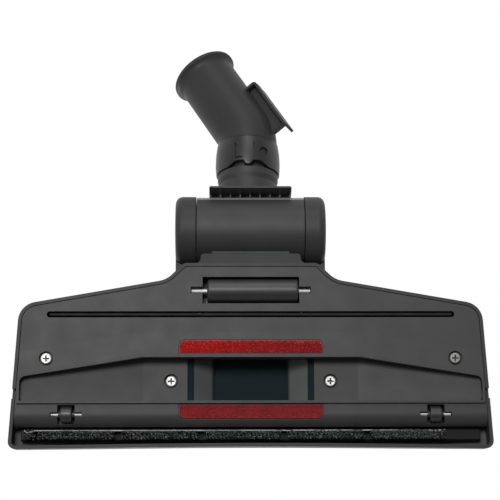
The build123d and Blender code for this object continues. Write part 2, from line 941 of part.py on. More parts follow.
with BuildPart() as tilt_barrel:
    with BuildSketch(neck_side):
        with BuildLine():
            Polyline(
                (0, rib_box_half_height),
                (rib_box_rear, rib_box_half_height),
                (rib_box_rear, -rib_box_half_height),
                (rib_plate_front, -rib_box_half_height),
                (rib_root_distance, -rib_root_drop),
                (0, -rib_root_drop),
                close=True,
            )
        make_face()
    extrude(amount=rib_box_half_width, both=True)
    rear_edges = tilt_barrel.faces().sort_by(neck_axis)[-1].edges().filter_by(Axis((0, 0, 0), neck_up))
    fillet(rear_edges, rib_box_wall)
    with BuildSketch(Plane(origin=(0, barrel_y, barrel_z), x_dir=(1, 0, 0), z_dir=-neck_up)):
        with Locations((0, rib_plate_front / 2)):
            with GridLocations(rib_pitch, 1, rib_pocket_count, 1):
                Rectangle(rib_pitch - rib_thickness, rib_plate_front)
    extrude(amount=rib_box_half_height, mode=Mode.SUBTRACT)
    with BuildSketch(neck_side):
        with Locations((0, -rib_pocket_ceiling)):
            Rectangle(rib_plate_front, rib_pocket_ceiling, align=(Align.MIN, Align.MIN))
    extrude(amount=rib_box_half_width - rib_box_wall, both=True)
    with BuildSketch(neck_section):
        with BuildLine():
            Polyline(
                (0, rib_plate_front),
                (neck_foot_radius, rib_plate_front),
                (neck_waist_radius, neck_waist_distance),
                (neck_bead_radius, neck_bead_start),
                (neck_bead_radius, neck_base_length),
                (spigot_radius, neck_base_length),
                (spigot_radius, catch_start - swivel_clearance),
                (spigot_radius - collar_lip_depth, catch_start - swivel_clearance),
                (spigot_radius - collar_lip_depth, catch_end),
                (spigot_radius, catch_end),
                (spigot_radius, seal_end - seal_width),
                (spigot_radius - seal_depth, seal_end - seal_width),
                (spigot_radius - seal_depth, seal_end),
                (spigot_radius, seal_end),
                (spigot_radius, spigot_length),
                (0, spigot_length),
                close=True,
            )
        make_face()
    revolve(axis=neck_axis)
    with Locations((0, barrel_y, barrel_z)):
        across(barrel_radius, barrel_half_length)
        across(trunnion_radius, barrel_half_length + barrel_gap + trunnion_length)
        across(barrel_radius - barrel_wall, barrel_half_length - barrel_wall, Mode.SUBTRACT)
    with BuildSketch(neck_start):
        Circle(neck_bore_radius)
        with Locations((0, -passage_floor)):
            Rectangle(
                2 * neck_bore_radius,
                neck_bore_radius,
                align=(Align.CENTER, Align.MAX),
                mode=Mode.SUBTRACT,
            )
    extrude(amount=rib_box_rear, mode=Mode.SUBTRACT)
    with BuildSketch(neck_start.offset(rib_box_rear)):
        Circle(neck_bore_radius)
    extrude(amount=spigot_length - rib_box_rear, mode=Mode.SUBTRACT)
    with BuildSketch(Plane.YZ):
        with BuildLine():
            Polyline(
                (barrel_y, barrel_z),
                (
                    barrel_y + window_reach * cos(window_low),
                    barrel_z + window_reach * sin(window_low),
                ),
                (
                    barrel_y + window_reach * cos(window_high),
                    barrel_z + window_reach * sin(window_high),
                ),
                close=True,
            )
        make_face()
    extrude(amount=duct_half_width, both=True, mode=Mode.SUBTRACT)
tilt_barrel.part.label = "tilt_barrel"
export_step(tilt_barrel.part, "parts/tilt_barrel.step")

# Swivel seal, a ring in the spigot's groove
sleeve_bore = spigot_radius + swivel_clearance
with BuildPart() as swivel_seal:
    with BuildSketch(neck_start.offset(seal_end - seal_width + seal_gap)):
        Circle(sleeve_bore - seal_gap)
        Circle(spigot_radius - seal_depth + seal_gap, mode=Mode.SUBTRACT)
    extrude(amount=seal_width - 2 * seal_gap)
swivel_seal.part.label = "swivel_seal"
export_step(swivel_seal.part, "parts/swivel_seal.step")

# Swivel collar: the catch lip runs in the spigot's groove
sleeve_radius = sleeve_bore + elbow_sleeve_wall
collar_bore = sleeve_radius + seal_gap
catch_radius = spigot_radius - collar_lip_depth + swivel_clearance
collar_end = collar_start + collar_length
collar_face = Plane(origin=neck_origin + neck_way * collar_start, x_dir=(1, 0, 0), z_dir=-neck_up)
with BuildPart() as swivel_collar:
    with BuildSketch(neck_section):
        with BuildLine():
            belly = ThreePointArc(
                (collar_radius, collar_start),
                (collar_belly_radius, (collar_start + collar_end) / 2),
                (collar_top_radius, collar_end),
            )
            Polyline(
                belly @ 1,
                (collar_bore, collar_end),
                (collar_bore, catch_start + collar_lip),
                (catch_radius, catch_start + collar_lip),
                (catch_radius, catch_start),
                (collar_bore, catch_start),
                (collar_bore, collar_start),
                belly @ 0,
            )
        make_face()
    revolve(axis=neck_axis)
    with BuildSketch(collar_face):
        with BuildLine():
            Polyline(
                (-collar_notch_width / 2 - collar_notch_slope, -collar_gap),
                (-collar_notch_width / 2, collar_notch_depth),
                (collar_notch_width / 2, collar_notch_depth),
                (collar_notch_width / 2 + collar_notch_slope, -collar_gap),
                close=True,
            )
        make_face()
        with Locations((collar_window_shift, collar_window_position)):
            Rectangle(collar_window_width, collar_window_length)
        with Locations((collar_window_shift, collar_window_position + collar_tongue_gap)):
            Rectangle(
                collar_window_width - 2 * collar_tongue_gap,
                collar_window_length,
                mode=Mode.SUBTRACT,
            )
        with Locations((collar_hole_shift, collar_window_position)):
            Circle(collar_hole_radius)
    extrude(amount=collar_radius, mode=Mode.SUBTRACT)
swivel_collar.part.label = "swivel_collar"
export_step(swivel_collar.part, "parts/swivel_collar.step")

# Elbow with its rim and parking hook
swivel = radians(elbow_swivel_angle)
bend = radians(elbow_bend_angle)
bend_point = neck_origin + neck_way * elbow_bend_distance
bend_side = neck_up * cos(swivel) - Vector(sin(swivel), 0, 0)
leg_way = bend_side * sin(bend) + neck_way * cos(bend)
hook_way = neck_way * sin(bend) - bend_side * cos(bend)
elbow_plane = Plane(origin=bend_point, x_dir=bend_side, z_dir=bend_side.cross(neck_way))
leg_plane = Plane(origin=bend_point, x_dir=hook_way, z_dir=hook_way.cross(leg_way))
mouth_plane = Plane(origin=bend_point + leg_way * elbow_leg, z_dir=leg_way)
sleeve_start = catch_end + swivel_clearance
hook_reach = elbow_radius + hook_standoff
hook_end = hook_start + hook_length
hook_lip_start = hook_start - hook_lip
flare_radius = (rim_radius - elbow_radius) / (1 - cos(radians(rim_flare_angle)))
flare_start = elbow_leg - rim_width - flare_radius * sin(radians(rim_flare_angle))
with BuildPart() as elbow:
    with BuildSketch(neck_start.offset(sleeve_start)):
        Circle(sleeve_radius)
    extrude(amount=elbow_sleeve_length)
    with BuildLine(elbow_plane) as elbow_path:
        FilletPolyline(
            (0, sleeve_start + elbow_sleeve_length - elbow_bend_distance),
            (0, 0),
            (elbow_leg * sin(bend), elbow_leg * cos(bend)),
            radius=elbow_bend_radius,
        )
    with BuildSketch(Plane(origin=elbow_path.line @ 0, z_dir=elbow_path.line % 0)):
        Circle(elbow_radius)
    sweep(path=elbow_path.line)
    with BuildSketch(leg_plane):
        with BuildLine():
            flare = JernArc((elbow_radius, flare_start), (0, 1), flare_radius, -rim_flare_angle)
            Polyline(
                flare @ 1,
                (rim_radius, elbow_leg),
                (passage_radius, elbow_leg),
                (passage_radius, flare_start),
                flare @ 0,
            )
        make_face()
    revolve(axis=Axis(bend_point, leg_way))
    rim_edges = elbow.edges().filter_by(GeomType.CIRCLE)
    fillet(rim_edges.filter_by(lambda rim: abs(rim.radius - rim_radius) < seal_gap), rim_edge_round)
    with BuildSketch(leg_plane):
        with Locations((0, hook_start)):
            Rectangle(hook_reach, hook_length, align=(Align.MIN, Align.MIN))
    extrude(amount=hook_web_thickness / 2, both=True)
    with BuildSketch(leg_plane):
        with BuildLine():
            FilletPolyline(
                (0, hook_end),
                (hook_reach, hook_end),
                (hook_reach, hook_lip_start),
                (hook_reach - hook_flange_thickness, hook_lip_start),
                (hook_reach - hook_flange_thickness, hook_end - hook_end_wall),
                (0, hook_end - hook_end_wall),
                radius=[0, hook_corner_radius, 0, 0, 0, 0],
                close=True,
            )
        make_face()
    extrude(amount=hook_flange_width / 2, both=True)
    with BuildSketch(Plane(origin=elbow_path.line @ 0, z_dir=elbow_path.line % 0)):
        Circle(passage_radius)
    sweep(path=elbow_path.line, mode=Mode.SUBTRACT)
    with BuildSketch(mouth_plane):
        Circle(wand_bore_radius)
    extrude(amount=-wand_bore_depth, mode=Mode.SUBTRACT)
    with BuildSketch(neck_start.offset(sleeve_start)):
        Circle(passage_radius)
    extrude(amount=elbow_sleeve_length, mode=Mode.SUBTRACT)
    with BuildSketch(neck_start.offset(sleeve_start)):
        Circle(sleeve_bore)
    extrude(amount=spigot_length + swivel_clearance - sleeve_start, mode=Mode.SUBTRACT)
elbow.part.label = "elbow"
export_step(elbow.part, "parts/elbow.step")

# Brush frame: front and rear bars, side bridges over the channel, and slotted lugs
lug_x = pedal_web_x + pedal_web_thickness + moving_gap
lug_slot_front = pedal_peg_y + pedal_peg_radius + moving_gap
lug_slot_back = pedal_peg_y - pedal_peg_radius - lug_slot_rear
lug_slot_low = pedal_peg_z - pedal_peg_radius - moving_gap
lug_slot_high = pedal_peg_z + pedal_peg_radius + lug_slot_rise
channel_slope = (channel_depth - channel_end_depth) / channel_run
channel_top_at_bridge = channel_top - channel_slope * (bridge_x - bridge_width / 2 - channel_knee_x)
bridge_high = channel_top_at_bridge + brush_drop + bridge_clearance + bridge_thickness / 2
bridge_low = sole_height + lip_height + brush_drop + bridge_clearance + bridge_thickness / 2
with BuildPart() as brush_frame:
    with BuildSketch(Plane.XY.offset(rear_bar_z)):
        with Locations((0, rear_slot_y)):
            Rectangle(2 * rear_bar_half_length, rear_bar_width)
        for side in (1, -1):
            with Locations((side * (lug_x + lug_thickness / 2), rear_slot_y)):
                Rectangle(
                    lug_thickness,
                    lug_slot_front + lug_wall - rear_slot_y,
                    align=(Align.CENTER, Align.MIN),
                )
    extrude(amount=rear_bar_height)
    with BuildSketch(Plane.XY.offset(front_bar_z)):
        with Locations((0, brush_y)):
            Rectangle(2 * front_bar_half_length, front_bar_width)
    extrude(amount=front_bar_height)
    for side in (1, -1):
        with BuildSketch(Plane.YZ.offset(side * (lug_x + lug_thickness / 2))):
            with BuildLine():
                Polyline(
                    (lug_slot_back - lug_wall, rear_bar_z),
                    (lug_slot_front + lug_wall, rear_bar_z),
                    (lug_slot_front + lug_wall, lug_slot_high + lug_wall),
                    (lug_slot_back - lug_wall, lug_slot_high + lug_wall),
                    close=True,
                )
            make_face()
            with BuildLine():
                Polyline(
                    (lug_slot_back, lug_slot_low),
                    (lug_slot_front, lug_slot_low),
                    (lug_slot_front, lug_slot_high),
                    (lug_slot_back, lug_slot_high),
                    close=True,
                )
            make_face(mode=Mode.SUBTRACT)
        extrude(amount=lug_thickness / 2, both=True)
        with BuildSketch(Plane.YZ.offset(side * bridge_x)):
            with BuildLine():
                Polyline(
                    (rear_slot_y, rear_bar_z + bridge_thickness / 2),
                    (channel_rear_y - bridge_width, bridge_high),
                    (channel_front_y + moulding_wall + bridge_clearance, bridge_high),
                    (lip_front_y - lip_nose_reach, bridge_low),
                    (brush_y, bridge_low),
                    (brush_y, front_bar_z + bridge_thickness / 2),
                )
            trace(line_width=bridge_thickness)
        extrude(amount=bridge_width / 2, both=True)
brush_frame.part.label = "brush_frame"
export_step(brush_frame.part, "parts/brush_frame.step")

# Front bristles: a backing strip with groups of tufts below it
bristle_field = 2 * front_bar_half_length - bristle_left_distance - bristle_right_distance
bristle_group_pitch = bristle_field / bristle_group_count
bristle_shift = (bristle_left_distance - bristle_right_distance) / 2
bristle_end_x = bristle_left_distance - front_bar_half_length - bristle_end_group / 2
with BuildPart() as front_bristles:
    with BuildSketch(Plane.XY.offset(front_bar_z)):
        with Locations((0, brush_y)):
            Rectangle(2 * front_bar_half_length, bristle_width)
    extrude(amount=-bristle_backing)
    with BuildSketch(Plane.XY.offset(front_bar_z - bristle_backing)):
        with Locations((bristle_shift, brush_y)):
            with GridLocations(bristle_group_pitch, 1, bristle_group_count, 1):
                Rectangle(bristle_group_pitch - bristle_group_gap, bristle_width)
        with Locations((bristle_end_x, brush_y)):
            Rectangle(bristle_end_group, bristle_width)
    extrude(amount=-bristle_length)
front_bristles.part.label = "front_bristles"
export_step(front_bristles.part, "parts/front_bristles.step")

# Rear wiper strip
with BuildPart() as rear_wiper:
    with BuildSketch(Plane.XY.offset(brush_tip_z)):
        with Locations((0, rear_slot_y)):
            Rectangle(2 * rear_bar_half_length, wiper_thickness)
    extrude(amount=rear_bar_z - brush_tip_z)
rear_wiper.part.label = "rear_wiper"
export_step(rear_wiper.part, "parts/rear_wiper.step")

# Foot pedal
with BuildPart() as foot_pedal:
    with BuildSketch(Plane.YZ):
        with BuildLine():
            crest = ThreePointArc(
                (pedal_front_y, hump_height(pedal_front_y)),
                (pedal_pivot_y, hump_height(pedal_pivot_y)),
                (pedal_rear_y, hump_height(pedal_rear_y)),
            )
            under = ThreePointArc(
                (pedal_rear_y, hump_height(pedal_rear_y) - pedal_thickness),
                (pedal_pivot_y, hump_height(pedal_pivot_y) - pedal_thickness),
                (pedal_front_y, hump_height(pedal_front_y) - pedal_thickness),
            )
            Line(crest @ 1, under @ 0)
            Line(under @ 1, crest @ 0)
        make_face()
    extrude(amount=pedal_half_width, both=True)
    for tread in range(pedal_tread_count):
        tread_y = pedal_rear_y + (tread + 1) * pedal_tread_pitch
        with Locations((0, tread_y, hump_height(tread_y))):
            across(pedal_tread_depth, pedal_half_width - pedal_tread_pitch)
    for side in (1, -1):
        with BuildSketch(Plane.YZ.offset(side * (pedal_web_x + pedal_web_thickness / 2))):
            with BuildLine():
                Polyline(
                    (pedal_pivot_y, hump_height(pedal_pivot_y) - pedal_thickness / 2),
                    (pedal_pivot_y, pedal_pivot_z),
                    (pedal_peg_y - pedal_arm_width, pedal_peg_z + pedal_arm_width),
                    (pedal_peg_y, pedal_peg_z),
                )
            trace(line_width=pedal_arm_width)
            with Locations((pedal_pivot_y, pedal_pivot_z)):
                Circle(pedal_boss_radius)
            with Locations((pedal_peg_y, pedal_peg_z)):
                Circle(pedal_arm_width / 2)
        extrude(amount=pedal_web_thickness / 2, both=True)
        with BuildSketch(Plane.YZ.offset(side * pedal_web_x)):
            with Locations((pedal_peg_y, pedal_peg_z)):
                Circle(pedal_peg_radius)
        extrude(amount=side * (pedal_web_thickness + moving_gap + lug_thickness))
    with Locations((0, pedal_pivot_y, pedal_pivot_z)):
        across(pedal_pin_radius + running_clearance, pedal_half_width, Mode.SUBTRACT)
foot_pedal.part.label = "foot_pedal"
export_step(foot_pedal.part, "parts/foot_pedal.step")

# Pedal pin, held in the cover's lugs
with BuildPart() as pedal_pin:
    with Locations((0, pedal_pivot_y, pedal_pivot_z)):
        across(pedal_pin_radius, pin_half_length)
pedal_pin.part.label = "pedal_pin"
export_step(pedal_pin.part, "parts/pedal_pin.step")
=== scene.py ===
"""Vacuum floor brush head, seen from below with its neck laid back.

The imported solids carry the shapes. This script dresses them in moulded plastic, steel and
rubber, and models the velvet pile and the bristles that the solids only block out.
All sizes are in metres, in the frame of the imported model.
"""

from __future__ import annotations

import json
import logging
import math
import random
from dataclasses import dataclass
from enum import Enum
from typing import Any, Callable, ClassVar

import bmesh
import bpy
from mathutils import Matrix, Vector

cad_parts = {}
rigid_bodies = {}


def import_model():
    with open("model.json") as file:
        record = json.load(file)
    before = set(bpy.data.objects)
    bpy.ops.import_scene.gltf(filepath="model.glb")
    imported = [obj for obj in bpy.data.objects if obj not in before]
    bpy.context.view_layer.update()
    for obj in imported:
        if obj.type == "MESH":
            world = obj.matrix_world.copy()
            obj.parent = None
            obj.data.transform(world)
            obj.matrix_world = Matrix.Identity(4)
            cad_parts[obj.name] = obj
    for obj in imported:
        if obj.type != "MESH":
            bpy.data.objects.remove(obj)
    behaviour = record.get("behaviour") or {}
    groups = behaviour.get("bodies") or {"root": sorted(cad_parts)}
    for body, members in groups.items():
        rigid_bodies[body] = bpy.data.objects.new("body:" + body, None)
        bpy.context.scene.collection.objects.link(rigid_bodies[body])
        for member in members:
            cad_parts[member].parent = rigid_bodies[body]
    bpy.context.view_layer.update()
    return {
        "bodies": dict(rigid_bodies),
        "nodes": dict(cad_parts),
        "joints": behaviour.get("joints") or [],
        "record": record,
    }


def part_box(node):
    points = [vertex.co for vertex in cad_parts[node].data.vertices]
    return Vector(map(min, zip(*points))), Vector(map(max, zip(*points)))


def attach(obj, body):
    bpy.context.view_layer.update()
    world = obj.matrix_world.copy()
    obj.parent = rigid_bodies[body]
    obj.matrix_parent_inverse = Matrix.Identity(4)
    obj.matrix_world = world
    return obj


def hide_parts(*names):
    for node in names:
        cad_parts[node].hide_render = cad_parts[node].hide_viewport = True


log = logging.getLogger("brush_head")

MM = 0.001
MICRON = 0.001 * MM
Colour = tuple[float, float, float]
Point = tuple[float, float, float]
Span = tuple[float, float]
Socket = bpy.types.NodeSocket

# Range that most values of a noise texture lie in
SWING: Span = (0.3, 0.7)


class Grain(Enum):
    """Surface of a moulded part, as the height of its grain in metres."""

    FINE = 0.000012
    SPARKED = 0.00003


class Nap(Enum):
    """Way that a velvet pile leans, as a step in Y at the fibre tips, in metres."""

    FORWARD = 0.00022
    BACKWARD = -0.00022


class Sum(Enum):
    """Sum of two values, as the name of its operation in a Math node."""

    PRODUCT = "MULTIPLY"
    LARGER = "MAXIMUM"
    ABOVE = "GREATER_THAN"


class Tree:
    """Nodes of a material or a world, with short calls for the sums that they share."""

    def __init__(self, tree: bpy.types.NodeTree) -> None:
        """Hold the nodes and links of a tree.

        Args:
            tree: Tree to add nodes to.
        """
        self.nodes = tree.nodes
        self.links = tree.links

    def span(self, value: Socket, start: float, end: float, low: float, high: float) -> Socket:
        """Map a value from one range to another, held at the ends.

        Args:
            value: Value to map.
            start: Input that gives low.
            end: Input that gives high.
            low: Output at start.
            high: Output at end.

        Returns:
            The mapped value.
        """
        node = self.nodes.new("ShaderNodeMapRange")
        for name, number in zip(("From Min", "From Max", "To Min", "To Max"), (start, end, low, high)):
            node.inputs[name].default_value = number
        self.links.new(value, node.inputs["Value"])
        return node.outputs["Result"]

    def combine(self, operation: Sum, first: Socket, second: Socket) -> Socket:
        """Make one value of two.

        Args:
            operation: How they are combined.
            first: First value.
            second: Second value.

        Returns:
            The result.
        """
        node = self.nodes.new("ShaderNodeMath")
        node.operation = operation.value
        self.links.new(first, node.inputs[0])
        self.links.new(second, node.inputs[1])
        return node.outputs[0]

    def mix(self, share: Socket, first: Socket | float, second: Socket | float) -> Socket:
        """Mix two values by share.

        Args:
            share: 0 for the first value, 1 for the second.
            first: A number, or a socket that carries one.
            second: The other value.

        Returns:
            The mixed value.
        """
        node = self.nodes.new("ShaderNodeMix")
        self.links.new(share, node.inputs["Factor"])
        for name, value in (("A", first), ("B", second)):
            if isinstance(value, float):
                node.inputs[name].default_value = value
            else:
                self.links.new(value, node.inputs[name])
        return node.outputs["Result"]


class Graph(Tree):
    """Node tree of one material, with short calls for what the finishes share."""

    def __init__(self, name: str) -> None:
        """Make the material.

        Args:
            name: Name of the material.
        """
        self.material = bpy.data.materials.new(name)
        self.material.use_nodes = True
        super().__init__(self.material.node_tree)
        self.shader = self.nodes["Principled BSDF"]
        self.place: Socket = self.nodes.new("ShaderNodeTexCoord").outputs["Object"]

    def set(self, **values: Any) -> None:
        """Set constants on the shader's own sockets.

        Args:
            values: Socket names, with _ for a space, and their values.
        """
        for name, value in values.items():
            self.shader.inputs[name.replace("_", " ")].default_value = value

    def feed(self, source: Socket, name: str) -> None:
        """Link a socket to the shader's input of that name."""
        self.links.new(source, self.shader.inputs[name])

    def noise(self, size: float, detail: float = 2.0, stretch: Point = (1, 1, 1)) -> Socket:
        """Cloudy noise on the object's own coordinates.

        Args:
            size: Size of a patch, in metres.
            detail: Octaves of finer noise in it.
            stretch: Factors on the coordinates, below 1 to draw patches out along an axis.

        Returns:
            The noise, about 0.5 on average.
        """
        mapping = self.nodes.new("ShaderNodeMapping")
        mapping.inputs["Scale"].default_value = stretch
        self.links.new(self.place, mapping.inputs["Vector"])
        texture = self.nodes.new("ShaderNodeTexNoise")
        texture.inputs["Scale"].default_value = 1 / size
        texture.inputs["Detail"].default_value = detail
        self.links.new(mapping.outputs["Vector"], texture.inputs["Vector"])
        return texture.outputs["Fac"]

    def along(self, axis: str) -> Socket:
        """Coordinate along an axis of the model's frame.

        Args:
            axis: X, Y or Z.

        Returns:
            The coordinate, in metres.
        """
        split = self.nodes.new("ShaderNodeSeparateXYZ")
        self.links.new(self.place, split.inputs["Vector"])
        return split.outputs[axis]

    def cells(self, size: float) -> Socket:
        """Random value for each cell of a pattern.

        Args:
            size: Size of a cell, in metres.

        Returns:
            The value, from 0 to 1.
        """
        texture = self.nodes.new("ShaderNodeTexVoronoi")
        texture.inputs["Scale"].default_value = 1 / size
        self.links.new(self.place, texture.inputs["Vector"])
        split = self.nodes.new("ShaderNodeSeparateColor")
        self.links.new(texture.outputs["Color"], split.inputs["Color"])
        return split.outputs["Red"]

    def blend(self, share: Socket, first: Colour | Socket, second: Colour) -> Socket:
        """Mix two colours by share.

        Args:
            share: 0 for the first colour, 1 for the second.
            first: A colour, or a socket that carries one.
            second: The other colour.

        Returns:
            The mixed colour.
        """
        node = self.nodes.new("ShaderNodeMix")
        node.data_type = "RGBA"
        self.links.new(share, node.inputs["Factor"])
        if isinstance(first, tuple):
            node.inputs["A"].default_value = (*first, 1)
        else:
            self.links.new(first, node.inputs["A"])
        node.inputs["B"].default_value = (*second, 1)
        return node.outputs["Result"]

    def relief(self, height: Socket, depth: float, under: Socket | None = None) -> Socket:
        """Bump from a height, over another normal where one is given.

        Args:
            height: Height from 0 to 1.
            depth: Depth in metres of a full step.
            under: Normal below it.

        Returns:
            The bumped normal.
        """
        node = self.nodes.new("ShaderNodeBump")
        node.inputs["Strength"].default_value = 1.0
        node.inputs["Distance"].default_value = depth
        self.links.new(height, node.inputs["Height"])
        if under is not None:
            self.links.new(under, node.inputs["Normal"])
        return node.outputs["Normal"]

    def rounded(self, radius: float, samples: int = 6) -> Socket:
        """Normal that softens sharp edges.

        Args:
            radius: Radius of an edge, in metres.
            samples: Rays that look for edges.

        Returns:
            The softened normal.
        """
        node = self.nodes.new("ShaderNodeBevel")
        node.samples = samples
        node.inputs["Radius"].default_value = radius
        return node.outputs["Normal"]


def scaled(colour: Colour, factor: float, lift: float = 0.0) -> Colour:
    """Colour with each channel times a factor, plus a lift."""
    return tuple(channel * factor + lift for channel in colour)


@dataclass(frozen=True)
class MouldedPlastic:
    """Charcoal injection-moulded plastic with a fine grain, rubbed a little brighter in patches."""

    name: str
    colour: Colour = (0.042, 0.042, 0.0425)
    roughness: float = 0.46
    grain: Grain = Grain.FINE
    edge: float = 0.35 * MM
    gloss: float = 0.42
    spread: float = 0.03
    rub_size: float = 35 * MM
    rub_stretch: Point = (1.0, 0.35, 1.0)
    rubbed: Span = (0.35, 0.7)
    rub_gain: float = 1.16
    dust_size: float = 1.1 * MM
    dusted: Span = (0.7, 0.85)
    dust_most: float = 0.5
    dust_gain: float = 1.7
    dust_lift: float = 0.012
    cloud_size: float = 12 * MM
    cloud_depth: float = 0.008 * MM
    grain_size: float = 0.45 * MM

    def tint(self, graph: Graph) -> Socket:
        """Colour of the plastic, with rub marks and specks of dust.

        Args:
            graph: Material that is being made.

        Returns:
            The colour.
        """
        rub = graph.noise(self.rub_size, 4.0, self.rub_stretch)
        dust = graph.noise(self.dust_size, 1.0)
        rubbed = graph.span(rub, *self.rubbed, 0.0, 1.0)
        dusted = graph.span(dust, *self.dusted, 0.0, self.dust_most)
        tint = graph.blend(rubbed, self.colour, scaled(self.colour, self.rub_gain))
        return graph.blend(dusted, tint, scaled(self.colour, self.dust_gain, self.dust_lift))

    def material(self) -> bpy.types.Material:
        """Make the material, with its tint, grain, flow clouds and soft edges.

        Returns:
            The material.
        """
        graph = Graph(self.name)
        clouds = graph.noise(self.cloud_size, 3.0)
        low, high = self.roughness - self.spread, self.roughness + self.spread
        graph.set(Specular_IOR_Level=self.gloss)
        graph.feed(self.tint(graph), "Base Color")
        graph.feed(graph.span(clouds, *SWING, low, high), "Roughness")
        grain = graph.noise(self.grain_size, 3.0)
        normal = graph.relief(grain, self.grain.value, graph.rounded(self.edge))
        graph.feed(graph.relief(clouds, self.cloud_depth, normal), "Normal")
        return graph.material


@dataclass(frozen=True)
class ShadedDuctPlastic(MouldedPlastic):
    """Plastic of the air duct, black and dull on its ceiling and on its outer ledges as painted shade."""

    painted_shade: Colour = (0.013, 0.022, 0.026)
    painted_shade_gloss: float = 0.03
    ceiling: Span = (21.8 * MM, 23.2 * MM)
    ledge: Span = (34.6 * MM, 35.4 * MM)

    def tint(self, graph: Graph) -> Socket:
        """Colour of the plastic, blackened and less glossy as painted shade on the ceiling and the outer
        ledges.

        Args:
            graph: Material that is being made.

        Returns:
            The colour.
        """
        # Painted shade: above the given ceiling heights and beyond the given ledge reach in X, the duct
        # turns black and loses its gloss
        across, (start, end) = graph.along("X"), self.ledge
        left = graph.span(across, -end, -start, 0.0, 1.0)
        right = graph.span(across, start, end, 1.0, 0.0)
        under = graph.span(graph.along("Z"), *self.ceiling, 1.0, 0.0)
        undarkened = graph.combine(Sum.PRODUCT, graph.combine(Sum.PRODUCT, left, right), under)
        graph.feed(graph.span(undarkened, 0.0, 1.0, self.painted_shade_gloss, self.gloss), "Specular IOR Level")
        return graph.blend(graph.span(undarkened, 0.0, 1.0, 1.0, 0.0), super().tint(graph), self.painted_shade)


@dataclass(frozen=True)
class RibbedPlastic(MouldedPlastic):
    """Plastic of the barrel, with a painted highlight, a pale tint, on the edges of the ribs below its
    neck.
    """

    pale: Colour = (0.36, 0.36, 0.355)
    behind: Span = (-114.3 * MM, -114.8 * MM)
    before: Span = (-118.4 * MM, -118.0 * MM)
    below: Span = (19.4 * MM, 18.9 * MM)

    def tint(self, graph: Graph) -> Socket:
        """Colour of the plastic, paler on the rib edges as painted highlight.

        Args:
            graph: Material that is being made.

        Returns:
            The colour.
        """
        along = graph.along("Y")
        behind = graph.span(along, *self.behind, 0.0, 1.0)
        before = graph.span(along, *self.before, 0.0, 1.0)
        below = graph.span(graph.along("Z"), *self.below, 0.0, 1.0)
        # Painted highlight: the rib edges between the given Y and Z bounds are tinted pale to look lit
        ribs = graph.combine(Sum.PRODUCT, graph.combine(Sum.PRODUCT, behind, before), below)
        return graph.blend(ribs, super().tint(graph), self.pale)


@dataclass(frozen=True)
class TurnedSteel:
    """Bright steel pin, with faint turning marks round its axis along X."""

    name: str
    colour: Colour = (0.82, 0.82, 0.83)
    roughness: float = 0.68
    spread: float = 0.05
    mark_size: float = 0.4 * MM
    mark_stretch: Point = (1.0, 0.02, 0.02)
    band_size: float = 6 * MM
    band_stretch: Point = (1.0, 0.05, 0.05)
    banded: Span = (0.4, 0.7)
    band_shade: float = 0.8

    def material(self) -> bpy.types.Material:
        """Make the material, with turning marks and duller bands.

        Returns:
            The material.
        """
        graph = Graph(self.name)
        marks = graph.noise(self.mark_size, 1.0, self.mark_stretch)
        bands = graph.noise(self.band_size, 2.0, self.band_stretch)
        banded = graph.span(bands, *self.banded, 0.0, 1.0)
        low, high = self.roughness - self.spread, self.roughness + self.spread
        graph.feed(graph.blend(banded, self.colour, scaled(self.colour, self.band_shade)), "Base Color")
        graph.feed(graph.span(marks, *SWING, low, high), "Roughness")
        graph.set(Metallic=1.0)
        return graph.material


@dataclass(frozen=True)
class PlatedScrew:
    """Pair of zinc-plated screws, darker and less metallic deeper down in their cross recesses, the right
    one darker where a darker colour is given.
    """

    name: str
    face: float
    right: Colour = (0.66, 0.66, 0.64)
    left: Colour = (0.66, 0.66, 0.64)
    recess_colour: Colour = (0.02, 0.02, 0.02)
    darken_from: float = 0.25 * MM
    darken_to: float = 0.8 * MM
    deep_metal: float = 0.2
    roughness: Span = (0.44, 0.64)
    dull_size: float = 1.6 * MM
    dulled: Span = (0.4, 0.75)
    dull_most: float = 0.6
    dull_shade: float = 0.6
    pit_size: float = 0.4 * MM
    pit_depth: float = 0.008 * MM
    edge: float = 0.15 * MM

    def material(self) -> bpy.types.Material:
        """Make the material, with dull patches and a colour that darkens with depth.

        Returns:
            The material.
        """
        graph = Graph(self.name)
        dull = graph.noise(self.dull_size, 3.0)
        height = graph.along("Z")
        undarkened, darkest = self.face + self.darken_from, self.face + self.darken_to
        plated = graph.blend(graph.span(graph.along("X"), -MM, MM, 0.0, 1.0), self.left, self.right)
        dulled = graph.span(dull, *self.dulled, 0.0, self.dull_most)
        plated = graph.blend(dulled, plated, scaled(self.left, self.dull_shade))
        # Darker and less metallic deeper in the cross recesses, between the two given depths past the
        # head's face
        graph.feed(graph.blend(graph.span(height, undarkened, darkest, 0.0, 1.0), plated, self.recess_colour), "Base Color")
        graph.feed(graph.span(height, undarkened, darkest, 1.0, self.deep_metal), "Metallic")
        graph.feed(graph.span(dull, *SWING, *self.roughness), "Roughness")
        pits = graph.noise(self.pit_size, 2.0)
        graph.feed(graph.relief(pits, self.pit_depth, graph.rounded(self.edge)), "Normal")
        return graph.material


